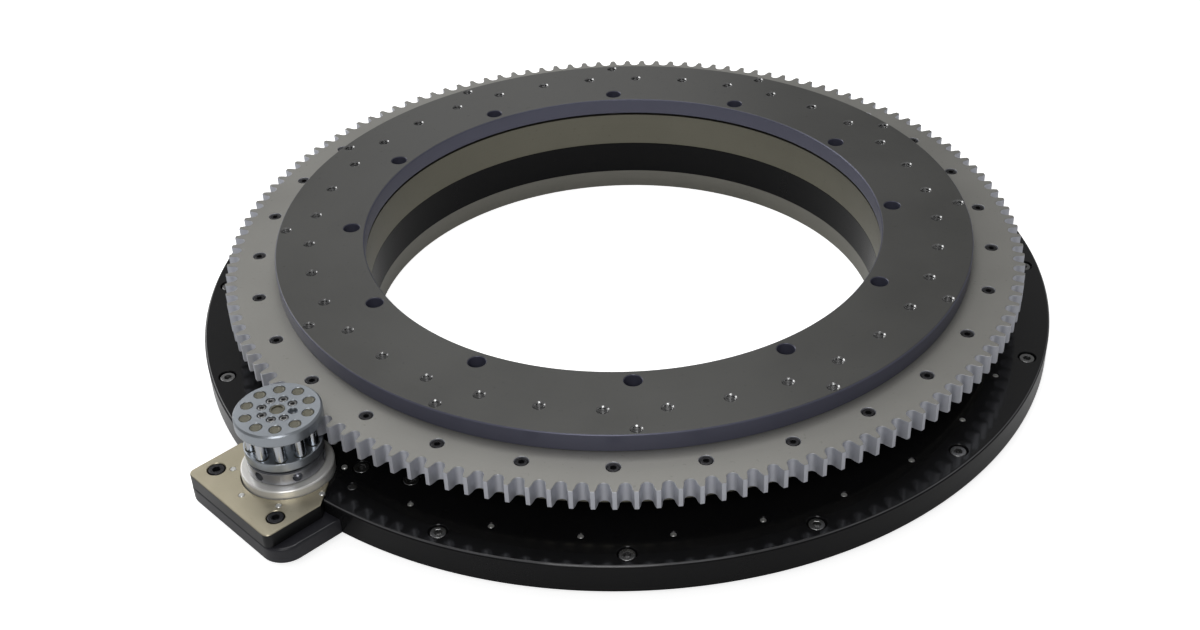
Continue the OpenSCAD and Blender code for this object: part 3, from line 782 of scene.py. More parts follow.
def around(
    tool: Thing, count: int, radius: float, first: float, skip: tuple[int, ...] = ()
) -> Thing:
    """Copies a cutter made round the Z axis to the places of a hole circle, as one object."""
    copies = []
    for k in range(count):
        if k in skip:
            continue
        copy = bpy.data.objects.new(tool.name, tool.data.copy())
        copy.data.transform(at(*polar(radius, first + 360 * k / count)))
        bpy.context.scene.collection.objects.link(copy)
        copies.append(copy)
    bpy.data.objects.remove(tool)
    return joined(copies)


def shade(thing: Thing, material: bpy.types.Material, angle: float = 28.0) -> Thing:
    """Gives a piece its material and smooth faces whose large flats stay flat.

    Args:
        thing: The piece.
        material: What it is made of.
        angle: Angle in degrees above which an edge stays sharp.

    Returns:
        The shaded piece, as a new object of the same name.
    """
    thing.data.materials.clear()
    thing.data.materials.append(material)
    thing.data.polygons.foreach_set("material_index", [0] * len(thing.data.polygons))
    thing.data.shade_smooth()
    thing.data.set_sharp_from_angle(angle=math.radians(angle))
    modifier = thing.modifiers.new("flat_flats", "WEIGHTED_NORMAL")
    modifier.keep_sharp = True
    modifier.weight = 100
    return plain(thing)


def settle(thing: Thing, body: str, nodes: list[str]) -> Thing:
    """Puts a finished piece on its body in the place of its CAD nodes.

    Args:
        thing: The piece, in its place.
        body: The body it moves with.
        nodes: The CAD nodes that it stands for.

    Returns:
        The piece.
    """
    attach(thing, body)
    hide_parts(*nodes)
    LOG.info("%s stands for %s on %s", thing.name, ", ".join(nodes), body)
    return thing


def mounted(thing: Thing, material: bpy.types.Material, body: str, node: str) -> Thing:
    """Moves a piece made round the origin to the pinion's axis, shades it and settles it."""
    thing.data.transform(DRIVE.pinion_place)
    return settle(shade(thing, material), body, [node])


@dataclass
class Shop:
    """What every sub-assembly needs: the finishes and the tool that makes round copies."""

    finishes: Finishes = field(default_factory=Finishes)
    copies: RoundCopies = field(default_factory=RoundCopies)

    def screw_seed(
        self, name: str, size: float, length: float, radius: float, seat: float, down: bool = True
    ) -> Thing:
        """Makes one socket head cap screw on the X axis.

        Args:
            name: The new object's name.
            size: Thread diameter.
            length: Length under the head.
            radius: Distance from the Z axis.
            seat: Height of the face under the head.
            down: True when the shank points down.

        Returns:
            The screw.
        """
        count, head, socket, top = 48, 0.8125 * size, 0.43 * size, size
        outside = [
            (size / 2 - 0.5, -length), (size / 2, 0.5 - length), (size / 2, 0.0), (head - 0.15, 0.0),
            (head, 0.15), (head, top - 0.55), (head - 0.12, top - 0.25), (head - 0.4, top - 0.05),
            (head - 0.6, top),
        ]
        inside = [(socket + 0.25, top), (socket, top - 0.2), (socket, size * 0.5)]
        loops = [ring(r, z, count) for r, z in outside]
        loops += [ring(r, z, count, hexagon=True) for r, z in inside]
        loops.append(ring(0.2, size * 0.42, count))
        screw = loft(name, loops)
        if not down:
            screw.data.transform(Matrix.Rotation(math.pi, 4, "X"))
        screw.data.transform(at(radius, 0.0, seat))
        return screw

    def screws(
        self, node: str, body: str, size: float, length: float, radius: float, seat: float, count: int,
        first: float = 0.0, skip: tuple[int, int] = (-1, -1), down: bool = True, place: Matrix | None = None,
        slot: str = "fastener_steel", tone: Tone = Tone.GREY,
    ) -> Thing:
        """Makes a circle of cap screws in the place of a CAD node.

        Args:
            node: The node that they stand for.
            body: The body that they move with.
            size: Thread diameter.
            length: Length under the head.
            radius: Radius of their circle.
            seat: Height of the face under the heads.
            count: Places round the circle.
            first: Angle of the first place in degrees.
            skip: First and last place that stay empty.
            down: True when the shanks point down.
            place: Where the circle's own frame lies, when it isn't the table's.
            slot: Not used.
            tone: How bright the screws are.

        Returns:
            The screws as one object.
        """
        made_of = self.finishes
        material = {
            Tone.DARK: made_of.dark_screw, Tone.GREY: made_of.screw, Tone.BRIGHT: made_of.bright_screw,
        }[tone]
        seed = self.screw_seed(f"{node}_detailed", size, length, radius, seat, down)
        made = self.copies.run(seed, count, material, first, skip)
        if place is not None:
            made.data.transform(place)
        return settle(shade(made, material, 35.0), body, [node])


@dataclass
class Table:
    """The turning ring: top plate, gear and the screws that hold the gear."""

    shop: Shop
    bore_r: float = 236.0
    plate_r: float = 316.0
    plate_z: float = 75.0
    plate_top: float = 91.0
    gear_z: float = 57.5
    spigot_r: float = 302.03
    screw_r: float = 333.7
    screw_first: float = 2.8
    screw_sink: float = 6.5
    screws: int = 30
    tooth_edge: float = 0.35
    work_inner_r: float = 285.6
    work_outer_r: float = 309.3
    hole_edge: float = 262.0

    def build(self) -> None:
        """Builds every piece of the table."""
        self.top_plate()
        self.ring_gear()
        seat = self.plate_z - self.screw_sink
        spread = (self.screws, self.screw_first)
        self.shop.screws("gear_screws", "table", 6, 20, self.screw_r, seat, *spread, tone=Tone.DARK)

    def top_plate(self) -> Thing:
        """The dark ring plate with its three circles of holes."""
        inner, outer, low, top = self.bore_r, self.plate_r, self.plate_z, self.plate_top
        corners = [
            (inner, low + 0.5), (inner + 0.5, low), (outer - 0.5, low), (outer, low + 0.5),
            (outer, top - 1.0), (outer - 1.0, top), (inner + 1.0, top), (inner, top - 1.0),
        ]
        plate = lathe("top_plate_turned", softened(corners, 0.4, 2), 720)
        access = hole_tool(7.5, self.plate_z - 1, self.plate_top, 0.6)
        tools = []
        for profile, circle, count, first in (
            (access, RING_SCREW_CIRCLE, 12, 0.0), (self.thread(), self.work_inner_r, 36, 5.0),
            (self.thread(), self.work_outer_r, 12, 0.0),
        ):
            tools.append(around(lathe("drill", profile, 32), count, circle, first))
        plate = shade(cut(plate, [joined(tools)]), self.shop.finishes.plate)
        self.brighten(plate)
        return settle(plate, "table", ["top_plate"])

    def thread(self) -> list[Point]:
        """Profile of a cutter that leaves the ridges of an M10 thread, with a small countersink."""
        low, pitch, minor, major = self.plate_z - 1.0, 1.5, 4.25, 4.9
        profile = [(0.0, low), (minor, low)]
        for k in range(int((self.plate_top - low - 1.0) / pitch)):
            z = low + pitch * k
            profile += [(minor, z + 0.2), (major, z + 0.75), (major, z + 0.9), (minor, z + 1.4)]
        rim = self.plate_top + 0.35
        return profile + [(minor, self.plate_top - 1.0), (5.6, rim), (0.0, rim)]

    def brighten(self, plate: Thing) -> None:
        """Gives the walls of the threaded holes bare metal, because they are cut after the plate's finish."""
        plate.data.materials.append(self.shop.finishes.thread)
        for face in plate.data.polygons:
            spot = face.center / MM
            reach = math.hypot(spot.x, spot.y)
            inside = self.plate_z + 0.1 < spot.z < self.plate_top - 0.1
            if inside and self.hole_edge < reach < self.plate_r - 1.5:
                face.material_index = 1

    def tooth_gap(self) -> list[Point]:
        """Outline of one tooth gap round the X axis, from the middle of one tip to the next."""
        reach = DRIVE.roller_r + DRIVE.mesh_gap
        ratio = DRIVE.ring_r / DRIVE.pinion_r
        tip_r = DRIVE.ring_r + DRIVE.tip

        def flank(turn: float) -> Vector:
            """Point of the flank, one roller beside the epicycloid of the roller's axis."""
            lean = (ratio + 2) / 2 * turn
            x = DRIVE.centres * math.cos(turn) - DRIVE.pinion_r * math.cos((ratio + 1) * turn)
            y = DRIVE.centres * math.sin(turn) - DRIVE.pinion_r * math.sin((ratio + 1) * turn)
            return Vector((x - reach * math.sin(lean), y + reach * math.cos(lean)))

        low, high = math.radians(0.5), math.radians(6.0)
        for _ in range(30):
            middle = (low + high) / 2
            if flank(middle).length < tip_r:
                low = middle
            else:
                high = middle
        steps = 6
        side = [tuple(flank(low * k / steps)) for k in range(steps + 1)]
        root = corner_arc(DRIVE.ring_r, 0.0, reach, -90.0, -270.0, 12)[1:-1]
        half = math.pi / DRIVE.teeth
        x, y = tip_r * math.cos(half), tip_r * math.sin(half)
        return [(x, -y), *[(px, -py) for px, py in reversed(side)], *root, *side, (x, y)]

    def ring_gear(self) -> Thing:
        """The gear ring: one gap's sector, repeated for every tooth, and the screws' counterbores."""
        outline = self.tooth_gap()
        half = math.pi / DRIVE.teeth
        inner = [
            (self.spigot_r * math.cos(a), self.spigot_r * math.sin(a))
            for a in (half * (k / 2 - 1) for k in range(5))
        ]
        edge = self.tooth_edge
        verts: list[Point3] = []
        loops: list[list[int]] = []
        pulled = self.pulled_in(outline, edge)
        for points, z in (
            (inner, self.gear_z), (pulled, self.gear_z), (outline, self.gear_z + edge),
            (outline, self.plate_z - edge), (pulled, self.plate_z), (inner, self.plate_z),
        ):
            loops.append(list(range(len(verts), len(verts) + len(points))))
            verts.extend((x, y, z) for x, y in points)
        faces = [loops[0] + loops[1][::-1], loops[4] + loops[5][::-1]]
        for i, j in ((1, 2), (2, 3), (3, 4), (5, 0)):
            low, high = loops[i], loops[j]
            faces += [[low[k], low[k + 1], high[k + 1], high[k]] for k in range(len(low) - 1)]
        seed = new_object("ring_gear_cut", verts, faces)
        gear = self.shop.copies.run(seed, DRIVE.teeth, self.shop.finishes.gear, DRIVE.tooth_phase, weld=2e-6)
        gear = turned_faces(gear)
        seat = self.plate_z - self.screw_sink
        drill = lathe("drill", M6.tool(self.gear_z - 1, seat, self.plate_z, 0.4), 40)
        gear = cut(gear, [around(drill, self.screws, self.screw_r, self.screw_first)])
        return settle(shade(gear, self.shop.finishes.gear, 32.0), "table", ["ring_gear"])

    def pulled_in(self, outline: list[Point], amount: float) -> list[Point]:
        """Moves a gap's outline into the metal for the chamfer, with its ends on the sector's edges."""
        made: list[Point] = []
        last = len(outline) - 1
        for i, here in enumerate(outline):
            if i in (0, last):
                spot = Vector(here).normalized() * (Vector(here).length - amount)
                made.append((spot.x, spot.y))
                continue
            along = (Vector(outline[i + 1]) - Vector(outline[i - 1])).normalized()
            spot = Vector(here) + Vector((-along.y, along.x)) * amount
            made.append((spot.x, spot.y))
        return made


@dataclass
class Base:
    """The standing pieces: base plate, pilot, bearing inner ring and their screws."""

    shop: Shop
    ring_in: float = 236.5
    base_r: float = 389.0
    top: float = 26.0
    screws: int = 16
    plugs: int = 32
    gap: tuple[int, int] = (30, 31)
    hub_r: float = 262.0
    hub_top: float = 39.2
    inner_top: float = 72.8
    screw_r: float = 375.0
    screw_first: float = 223.3
    screw_sink: float = 9.0
    plug_r: float = 356.6
    plug_first: float = 240.2
    ring_screw_sink: float = 8.5
    pilot_z: float = -12.7
    pilot_screw_sink: float = 6.5
    pilot_screw_r: float = 246.0
    ring_screws: int = 12

    def build(self) -> None:
        """Builds every standing piece that shows, apart from the pinion's."""
        self.base_plate()
        self.pilot()
        self.inner_ring()
        self.edge_plugs()
        shop = self.shop
        seat = self.top - self.screw_sink
        shop.screws("base_screws", "base", 8, 25, self.screw_r, seat, self.screws, self.screw_first, (0, 0))
        count, seat = self.ring_screws, self.inner_top - self.ring_screw_sink
        shop.screws("inner_ring_screws", "base", 8, 40, RING_SCREW_CIRCLE, seat, count)
        seat = self.pilot_z + self.pilot_screw_sink
        shop.screws("pilot_screws", "base", 6, 25, self.pilot_screw_r, seat, count, 15.0, down=False)

    def base_plate(self) -> Thing:
        """The lacquered disc with its hub, screw holes and the opening for the pinion's plates."""
        corners = [
            (self.ring_in, 5.7), (255.1, 5.7), (255.1, 1.0), (257.0, 1.0), (257.0, 0.0),
            (self.base_r - 0.8, 0.0), (self.base_r, 0.8),
            (self.base_r, self.top - 1.5), (self.base_r - 1.5, self.top), (self.hub_r, self.top),
            (self.hub_r, self.hub_top), (self.ring_in, self.hub_top),
        ]
        plate = lathe("base_plate_turned", softened(corners, 0.5, 2), 720)
        drill = lathe("drill", M8.tool(-1.0, self.top - self.screw_sink, self.top, 0.6), 40)
        screw_holes = around(drill, self.screws, self.screw_r, self.screw_first, (0,))
        small = lathe("drill", hole_tool(TIP_DRILL, self.top - 12, self.top, 0.5), 24)
        plug_holes = around(small, self.plugs, self.plug_r, self.plug_first, self.gap)
        plate = cut(plate, [joined([screw_holes, plug_holes]), self.pocket()])
        plate = cut(plate, [self.pinion_holes()])
        return settle(shade(plate, self.shop.finishes.base), "base", ["base_plate"])

    def pocket(self) -> Thing:
        """The space that the carrier plate and the adapter plate stand in."""
        tail = [(-74.5, -96.5), (-31.5, -96.5), (-31.5, -67.5), (90.0, -67.5)]
        tail += [(90.0, 67.5), (-31.5, 67.5), (-31.5, 96.5), (-74.5, 96.5)]
        low = loft("pocket", [[(x, y, z) for x, y in tail] for z in (-2.0, 14.0)])
        back = [(-12.5, -38.5), (8.5, -56.0), (90.0, -56.0), (90.0, 56.0), (8.5, 56.0), (-12.5, 38.5)]
        high = loft("pocket", [[(x, y, z) for x, y in back] for z in (13.5, 40.0)])
        tools = united(low, high)
        tools.data.transform(DRIVE.pinion_place)
        return tools

    def pinion_holes(self) -> Thing:
        """The round hole for the pinion's housing and the holes for the screws and dowels beside it."""
        tools = [lathe("drill", hole_tool(HOUSING_HOLE, -1, self.top, 0.5), 96)]
        tools += drills(M8.tool(13.0, 18.0, self.top, 0.5), FASTENINGS.carrier_screws)
        tools += drills(hole_tool(4.03, 12.0, self.top), FASTENINGS.dowels, 32)
        tools += drills(hole_tool(TIP_DRILL, 12.0, self.top), FASTENINGS.tips(3, 4, 5), 24)
        made = joined(tools)
        made.data.transform(DRIVE.pinion_place)
        return made

    def pilot(self) -> Thing:
        """The ground ring that centres the base in its machine."""
        corners = [
            (self.ring_in, self.pilot_z), (255.0, self.pilot_z), (256.0, self.pilot_z + 1), (256.0, 0.0),
            (255.0, 0.0), (255.0, 5.7), (self.ring_in, 5.7),
        ]
        ring = lathe("pilot_ring_turned", softened(corners, 0.3, 2), 540)
        low, seat, end = self.pilot_z - OVERSHOOT, self.pilot_z + self.pilot_screw_sink, 6.5
        profile = [(0.0, low), (M6.head, low), (M6.head, seat), (M6.hole, seat), (M6.hole, end), (0.0, end)]
        drill = lathe("drill", profile, 36)
        ring = cut(ring, [around(drill, self.ring_screws, self.pilot_screw_r, 15.0)])
        return settle(shade(ring, self.shop.finishes.pilot), "base", ["pilot_ring"])

    def inner_ring(self) -> Thing:
        """The bearing's standing ring with its groove and counterbores."""
        out, low, high = 265.0, self.hub_top, self.inner_top
        middle, half = (low + high) / 2, 6.05 * math.sqrt(2)
        corners = [
            (self.ring_in, low), (out, low), (out, middle - half + 1), (out + 1 - half, middle),
            (out, middle + half - 1), (out, high - 1), (out - 1, high), (self.ring_in, high),
        ]
        ring = lathe("inner_ring_turned", softened(corners, 0.4, 2), 720)
        drill = lathe("drill", M8.tool(low - 1, high - self.ring_screw_sink, high, 0.4), 40)
        ring = cut(ring, [around(drill, self.ring_screws, RING_SCREW_CIRCLE, 0.0)])
        return settle(shade(ring, self.shop.finishes.race), "base", ["inner_ring"])

    def edge_plugs(self) -> Thing:
        """The small set screws between the base screws, each with a hexagon socket."""
        count, top = 24, self.top
        outside = [(2.1, top - 12), (2.5, top - 11.6), (2.5, top - 0.9), (2.1, top - 0.4)]
        inside = [(1.5, top - 0.3), (1.4, top - 0.5), (1.4, top - 3), (0.1, top - 3.4)]
        loops = [ring(r, z, count) for r, z in outside]
        loops += [ring(r, z, count, hexagon=True) for r, z in inside]
        seed = loft("edge_plugs_detailed", loops)
        seed.data.transform(at(self.plug_r, 0.0))
        steel = self.shop.finishes.bright_screw
        made = self.shop.copies.run(seed, self.plugs, steel, self.plug_first, self.gap)
        return settle(shade(made, steel, 35.0), "base", ["edge_plugs"])


@dataclass
class PinionMounting:
    """The plates, screws and housing that carry the pinion."""

    shop: Shop
    front: float = 60.0
    carrier_top: float = 14.0
    adapter_top: float = 27.0
    carrier_half: float = 67.0
    carrier_corner: float = 20.0
    adapter_half: float = 55.5
    adapter_corner: float = 6.0

    def build(self) -> None:
        """Builds every standing piece round the pinion."""
        self.carrier()
        self.adapter()
        self.housing()
        self.fastenings()

    def carrier(self) -> Thing:
        """The black plate whose rounded tab stands out of the base."""
        half, corner = self.carrier_half, self.carrier_corner
        cx, cy = self.front - corner, half - corner
        outline = [(-74.0, -96.0), (-32.0, -96.0), (-32.0, -half)]
        outline += corner_arc(cx, -cy, corner, -90, 0, 14)
        outline += corner_arc(cx, cy, corner, 0, 90, 14)
        outline += [(-32.0, half), (-32.0, 96.0), (-74.0, 96.0)]
        levels = [(0.5, 0.0), (0.0, 0.5), (0.0, 11.5), (0.25, 12.5), (0.8, 13.3), (1.5, 13.75)]
        levels.append((2.5, self.carrier_top))
        loops = [[(x, y, z) for x, y in self.front_inset(outline, amount)] for amount, z in levels]
        plate = loft("pinion_carrier_milled", loops)
        seat = [(0.0, -1.0), (52.5, -1.0), (52.5, 8.0), (37.6, 8.0), (37.6, 15.0), (0.0, 15.0)]
        tools = [drill_at(seat, 0, 0, 128)]
        tools += drills(hole_tool(TIP_DRILL, 7.0, 15.0), FASTENINGS.tips(*range(8)), 24)
        made = cut(plate, [joined(tools)])
        holes = drills(hole_tool(4.05, 1.0, 15.0), FASTENINGS.adapter_screws, 32)
        made = cut(made, [joined(holes)])
        return mounted(made, self.shop.finishes.carrier, "base", "pinion_carrier")

    def front_inset(self, outline: list[Point], amount: float) -> list[Point]:
        """Moves only the part of the carrier's outline that stands out of the base inward."""
        moved = inset(outline, amount)
        return [new if old[0] > 0 else old for old, new in zip(outline, moved)]

    def adapter(self) -> Thing:
        """The bare metal plate that lies on the tab, cut out round the housing."""
        half, corner = self.adapter_half, self.adapter_corner
        cx, cy = self.front - corner, half - corner
        outline = [(-12.0, -38.0), (9.0, -half)]
        outline += corner_arc(cx, -cy, corner, -90, 0, 8)
        outline += corner_arc(cx, cy, corner, 0, 90, 8)
        outline += [(9.0, half), (-12.0, 38.0)]
        plate = slab("adapter_plate_milled", outline, self.carrier_top, self.adapter_top, 0.6)
        tools = [drill_at(hole_tool(HOUSING_HOLE, 13.0, self.adapter_top, 0.5), 0, 0, 128)]
        tools += drills(M8.tool(13.0, 19.0, self.adapter_top, 0.5), FASTENINGS.adapter_screws)
        tools += drills(hole_tool(TIP_DRILL, 13.0, self.adapter_top), FASTENINGS.tips(-2, -1, 0, 1, 2), 24)
        made = cut(plate, [joined(tools)])
        return mounted(made, self.shop.finishes.adapter, "base", "adapter_plate")

    def housing(self) -> Thing:
        """The ground boss that holds the pinion's ball bearings."""
        corners = [
            (27.53, 0.0), (52.0, 0.0), (52.0, 8.0), (37.5, 8.0), (37.5, 33.0), (36.5, 34.0), (25.5, 34.0),
            (25.5, 31.0), (27.53, 31.0), (27.53, 5.0), (28.53, 5.0), (28.53, 3.1), (27.53, 3.1),
        ]
        ring = lathe("bearing_housing_turned", softened(corners, 0.35, 2), 180)
        head = [(0.0, -0.3), (5.0, -0.3), (4.6, 0.2), (4.6, 5.2), (2.65, 5.2), (2.65, 9.0), (0.0, 9.0)]
        threads = [(0.0, -0.3), (2.6, -0.3), (2.1, 0.3), (2.1, 12.0), (0.0, 12.6)]
        tools = drills(head, FASTENINGS.tips(*range(8)), 28)
        tools += drills(threads, [polar(32.5, 45 + 90 * k) for k in range(4)], 24)
        made = cut(ring, [joined(tools)])
        return mounted(made, self.shop.finishes.ground, "base", "bearing_housing")

    def fastenings(self) -> None:
        """The screws and dowels beside the pinion."""
        shop, place = self.shop, DRIVE.pinion_place
        shop.screws(
            "housing_screws", "base", 5, 22, FASTENINGS.tip_circle, 5.2, 8, down=False, place=place,
            tone=Tone.BRIGHT,
        )
        shop.screws(
            "adapter_screws", "base", 8, 16, FASTENINGS.screw_circle, 19.0, 4, -45.0, (2, 3), place=place,
            tone=Tone.DARK,
        )
        seeds = []
        for spot in FASTENINGS.carrier_screws:
            seeds.append(shop.screw_seed("carrier_screws_detailed", 8, 16, 0.0, 18.0))
            seeds[-1].data.transform(at(*spot))
        screws = joined(seeds)
        screws.data.transform(place)
        settle(shade(screws, shop.finishes.screw, 35.0), "base", ["carrier_screws"])
        profile = softened([(0.0, 2.0), (4.0, 2.0), (4.0, 25.0), (3.5, 25.5), (0.0, 25.5)], 0.3, 2)
        pins = []
        for spot in FASTENINGS.dowels:
            pins.append(lathe("carrier_dowels_turned", profile, 40))
            pins[-1].data.transform(at(*spot))
        dowels = joined(pins)
        dowels.data.transform(place)
        settle(shade(dowels, shop.finishes.screw, 35.0), "base", ["carrier_dowels"])


@dataclass
class Pinion:
    """The roller pinion: neck and shaft, core, cap, rollers and the screws that join them."""

    shop: Shop
    core_z: float = 48.0
    core_top: float = 56.5
    cap_z: float = 76.0
    cap_top: float = 87.0
    cap_r: float = 35.0
    cup_r: float = 4.9
    cup_hole: float = 4.93
    cup_bore: float = 3.05
    cup_floor: float = 48.6
    screw_circle: float = 13.0
    screw_sink: float = 4.4
    screw_phase: float = 31.6 - DRIVE.pinion_dir
    first_cup: float = DRIVE.pinion_phase - DRIVE.pinion_dir

    def build(self) -> None:
        """Builds every piece of the pinion that shows."""
        self.shaft()
        self.core()
        self.cap()
        self.cups()
        self.rollers()
        place = DRIVE.pinion_place
        self.shop.screws(
            "pinion_screws", "pinion", 4, 40, self.screw_circle, self.cap_top - self.screw_sink, 8,
            self.screw_phase, (7, 7), place=place,
        )
        self.plug()

    def cup_holes(self, profile: list[Point], segments: int = 32) -> Thing:
        """The cutters of the ten cups, as one object."""
        return around(lathe("drill", profile, segments), DRIVE.rollers, DRIVE.pinion_r, self.first_cup)

    def disc(self, name: str, corners: list[Point], radius: float, segments: int) -> Thing:
        """Turns a solid disc whose corners are rounded, apart from its ends on the axis."""
        middle = softened(corners, radius, 2)[4:-4]
        return lathe(name, corners[:1] + middle + corners[-1:], segments)

    def shaft(self) -> Thing:
        """The hollow shaft with the neck that the core stands on."""
        corners = [
            (10.0, 2.0), (17.0, 2.0), (17.5, 2.5), (17.5, 3.1), (16.5, 3.1), (16.5, 5.0), (17.5, 5.0),
            (17.5, 31.0), (21.0, 31.0), (21.0, 34.5), (30.0, 34.5), (31.0, 35.5), (31.0, 45.5),
            (30.0, 45.5), (30.0, 48.0), (0.0, 48.0), (0.0, 37.5), (10.0, 37.5),
        ]
        neck = lathe("pinion_shaft_turned", softened(corners, 0.3, 2)[:-12] + corners[-3:], 180)
        pocket = [(0.0, 0.0), (3.4, 0.0), (4.0, 0.6), (4.0, 6.2), (4.8, 7.2), (0.0, 7.2)]
        tools = []
        for k in range(6):
            drill = lathe("drill", pocket, 32)
            turn = Matrix.Rotation(math.radians(12 + 60 * k), 4, "Z")
            drill.data.transform(turn @ at(24.8, 0.0, 40.5) @ Matrix.Rotation(math.pi / 2, 4, "Y"))
            tools.append(drill)
        made = cut(neck, [joined(tools)])
        return mounted(made, self.shop.finishes.neck, "pinion", "pinion_shaft")

    def core(self) -> Thing:
        """The lower disc and the post that the cap is screwed to."""
        low, high, post = self.core_z, self.core_top, DRIVE.pinion_r - DRIVE.roller_r - 2
        corners = [(0.0, low), (30.5, low), (31.5, low + 1), (31.5, high - 0.5), (31.0, high), (post, high)]
        corners += [(post, self.cap_z), (0.0, self.cap_z)]
        core = self.disc("pinion_core_turned", corners, 0.3, 180)
        hole, floor = self.cup_hole, self.cup_floor
        profile = [(0.0, floor), (hole, floor), (hole, high - 0.3), (5.4, high + 0.2), (0.0, high + 0.2)]
        made = cut(core, [self.cup_holes(profile)])
        return mounted(made, self.shop.finishes.pinion, "pinion", "pinion_core")

    def cap(self) -> Thing:
        """The upper disc with the ten cup holes, the screw holes and the centre hole."""
        low, top, r = self.cap_z, self.cap_top, self.cap_r
        corners = [(0.0, low), (r - 1, low), (r, low + 1), (r, top - 1.5), (r - 1.5, top), (0.0, top)]
        cap = self.disc("pinion_cap_turned", corners, 0.35, 240)
        cups = self.cup_holes(hole_tool(self.cup_hole, low - 1, top, 0.35), 40)
        head = lathe("drill", M4.tool(low - 1, top - self.screw_sink, top, 0.35), 32)
        heads = around(head, 8, self.screw_circle, self.screw_phase)
        centre = lathe("drill", hole_tool(6.03, top - 6, top, 0.35), 48)
        made = cut(cap, [joined([cups, heads, centre])])
        return mounted(made, self.shop.finishes.pinion, "pinion", "pinion_cap")

    def cups(self) -> None:
        """The needle cups' closed ends in the cap and their open ends in the lower disc."""
        top, low, r, bore = self.cap_top, self.cap_z, self.cup_r, self.cup_bore
        floor, rim = self.cup_floor, self.core_top
        upper = [(bore, low), (r, low), (r, top - 0.9), (r - 0.7, top - 0.25), (r - 1.6, top - 0.25)]
        upper += [(r - 2.0, top - 0.5), (0.0, top - 0.5), (0.0, top - 1.4), (bore, top - 1.4)]
        lower = [(0.0, floor), (r - 0.6, floor), (r, floor + 0.6), (r, rim), (bore, rim)]
        lower += [(bore, floor + 1.2), (0.0, floor + 1.2)]
        for name, profile in (("upper_needle_cups", upper), ("lower_needle_cups", lower)):
            seed = lathe(f"{name}_drawn", profile, 40)
            seed.data.transform(at(DRIVE.pinion_r, 0.0))
            made = self.shop.copies.run(seed, DRIVE.rollers, self.shop.finishes.race, self.first_cup)
            made.data.transform(DRIVE.pinion_place)
            settle(shade(made, self.shop.finishes.race, 30.0), "pinion", [name])

    def rollers(self) -> None:
        """The ten rollers, each on its own body, with rounded shoulders and journals."""
        low, high = 56.8, 75.7
        profile = [
            (0.0, 50.1), (2.6, 50.1), (3.0, 50.5), (3.0, low), (4.1, low), (4.5, low + 0.4),
            (4.5, high - 0.4), (4.1, high), (3.0, high), (3.0, 84.9), (2.6, 85.3), (0.0, 85.3),
        ]
        for k in range(DRIVE.rollers):
            roller = lathe(f"pinion_roller_{k + 1}_ground", profile, 40)
            spot = polar(DRIVE.pinion_r, self.first_cup + 360.0 * k / DRIVE.rollers)
            roller.data.transform(DRIVE.pinion_place @ at(*spot))
            roller = shade(roller, self.shop.finishes.roller, 30.0)
            settle(roller, f"roller_{k + 1}", [f"pinion_roller_{k + 1}"])

    def plug(self) -> Thing:
        """The plug in the middle of the cap."""
        top = self.cap_top
        profile = [(0.0, top - 6), (5.6, top - 6), (6.0, top - 5.6), (6.0, top - 0.6), (5.6, top - 0.2)]
        profile += [(4.9, top - 0.2), (4.5, top - 0.5), (4.5, top - 1.4), (0.0, top - 1.4)]
        made = lathe("centre_plug_turned", profile, 60)
        made.data.transform(DRIVE.pinion_place)
        return settle(shade(made, self.shop.finishes.race, 30.0), "pinion", ["centre_plug"])


class StayingNodes:
    """CAD nodes that keep their own shape and get a better finish."""

    def __init__(self, finishes: Finishes) -> None:
        """Sorts the nodes by finish."""
        self.by_finish = [
            (finishes.race, ["outer_ring_lower", "outer_ring_upper"]),
            (finishes.screw, ["outer_ring_screws", "table_dowels", "pinion_dowel"]),
            (finishes.ground, [
                "crossed_rollers", "lower_outer_race", "upper_outer_race", "lower_inner_race",
                "upper_inner_race", "outer_race_spacer", "inner_race_spacer", "lower_balls", "upper_balls",
            ]),
            (finishes.brass, ["roller_cage", "lower_ball_cage", "upper_ball_cage"]),
            (finishes.rubber, ["upper_seal", "lower_seal", "shaft_seal"]),
            (finishes.spring, ["housing_snap_ring", "shaft_snap_ring"]),
        ]

    def dress(self) -> None:
        """Assigns each finish to its nodes' material slots."""
        for material, names in self.by_finish:
            for name in names:
                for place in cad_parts[name].material_slots:
                    place.material = material
                LOG.info("%s keeps its shape", name)


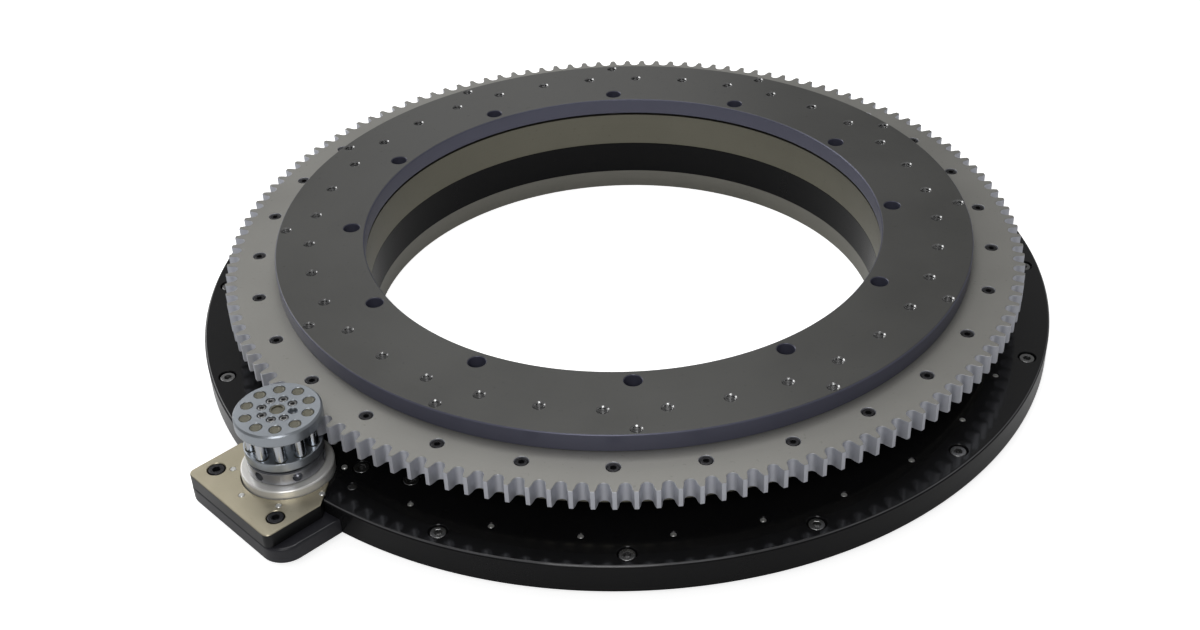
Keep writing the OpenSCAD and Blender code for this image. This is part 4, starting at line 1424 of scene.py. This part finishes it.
@dataclass
class Studio:
    """Camera, floor and lights."""

    focal_px: float = 1529.06
    picture: tuple[int, int] = (1200, 630)
    distance: float = 4.44866
    elevation: float = 0.607762
    roll: float = 0.0416877
    centre_px: Point = (621.827, 216.444)
    unit: float = 316.0
    table_top: float = 91.0
    floor_z: float = -12.9
    floor_lift: float = 0.75
    surround: float = 0.22

    def build(self) -> None:
        """Sets up everything round the object."""
        self.camera()
        self.floor()
        self.lights()
        bpy.context.scene.view_settings.view_transform = "Standard"

    def camera(self) -> None:
        """Places the camera from the fit to the photograph's circles; its unit is the top plate's radius."""
        width, height = self.picture
        ox = -(self.centre_px[0] - width / 2) * self.distance / self.focal_px
        oy = (self.centre_px[1] - height / 2) * self.distance / self.focal_px
        up = Vector((0.0, math.sin(self.elevation), math.cos(self.elevation)))
        ahead = Vector((0.0, math.cos(self.elevation), -math.sin(self.elevation)))
        side = Vector((1.0, 0.0, 0.0))
        cos, sin = math.cos(self.roll), math.sin(self.roll)
        across = side * cos - up * sin
        upward = side * sin + up * cos
        scale = self.unit * MM
        spot = (across * ox + upward * oy - ahead * self.distance) * scale
        spot.z += self.table_top * MM
        data = bpy.data.cameras.new("camera")
        data.sensor_width = 36.0
        data.lens = self.focal_px / width * data.sensor_width
        data.clip_start, data.clip_end = 0.05, 50.0
        camera = bpy.data.objects.new("camera", data)
        turn = Matrix((across, upward, -ahead)).transposed().to_4x4()
        camera.matrix_world = Matrix.Translation(spot) @ turn
        bpy.context.scene.collection.objects.link(camera)
        bpy.context.scene.camera = camera

    def floor(self) -> None:
        """A pale floor that shows white to the camera away from the object's shadow."""
        size = 60000.0
        signs = ((-1, -1), (1, -1), (1, 1), (-1, 1))
        corners = [(x * size, y * size, self.floor_z) for x, y in signs]
        ground = new_object("floor", corners, [[0, 1, 2, 3]])
        shader = Shader("pale_floor")
        grain = shader.noise(shader.node("ShaderNodeTexCoord", {}, []).outputs["Object"], 3.0, 2.0)
        sockets = shader.surface.inputs
        shader.feed(sockets["Base Color"], shader.mix(grain, (0.86,) * 3, (0.9,) * 3))
        sockets["Roughness"].default_value = 0.9
        seen = shader.value("ShaderNodeLightPath", {}, [])
        sockets["Emission Strength"].default_value = self.floor_lift
        shader.feed(sockets["Emission Color"], shader.mix(seen, (0.0,) * 3, (1.0,) * 3))
        ground.data.materials.append(shader.material)

    def lights(self) -> None:
        """A pale surrounding and four soft boxes."""
        world = bpy.data.worlds.new("studio")
        bpy.context.scene.world = world
        world.use_nodes = True
        sky = Nodes(world.node_tree)
        path = sky.node("ShaderNodeLightPath", {}, {}).outputs
        seen = Value(sky, path["Is Camera Ray"]).larger(path["Is Transmission Ray"])
        level = sky.value("ShaderNodeMapRange", {}, {"Value": seen, "To Min": self.surround, "To Max": 1.0})
        back = sky.tree.nodes["Background"].inputs
        sky.feed(back["Strength"], level)
        sky.feed(back["Color"], (1.0, 1.0, 1.0, 1.0))
        boxes = [
            ("left_box", (-1.9, 1.3, 1.3), 1.6, 20.0),
            ("front_box", (-0.3, -1.9, 1.5), 0.9, 14.0),
            ("top_box", (-0.1, 0.6, 2.3), 1.7, 22.0),
            ("back_box", (-0.2, 2.6, 1.5), 1.2, 3.2),
        ]
        for name, spot, size, power in boxes:
            lamp = bpy.data.lights.new(name, "AREA")
            lamp.size, lamp.energy = size, power
            thing = bpy.data.objects.new(name, lamp)
            thing.location = spot
            away = Vector(spot) - Vector((0.0, 0.0, 0.05))
            thing.rotation_euler = away.to_track_quat("Z", "Y").to_euler()
            bpy.context.scene.collection.objects.link(thing)


def main() -> None:
    """Builds the indexer piece by piece, then its studio."""
    logging.basicConfig(level=logging.INFO)
    shop = Shop()
    Table(shop).build()
    Base(shop).build()
    PinionMounting(shop).build()
    Pinion(shop).build()
    StayingNodes(shop.finishes).dress()
    Studio().build()


if __name__ == "__main__":
    main()
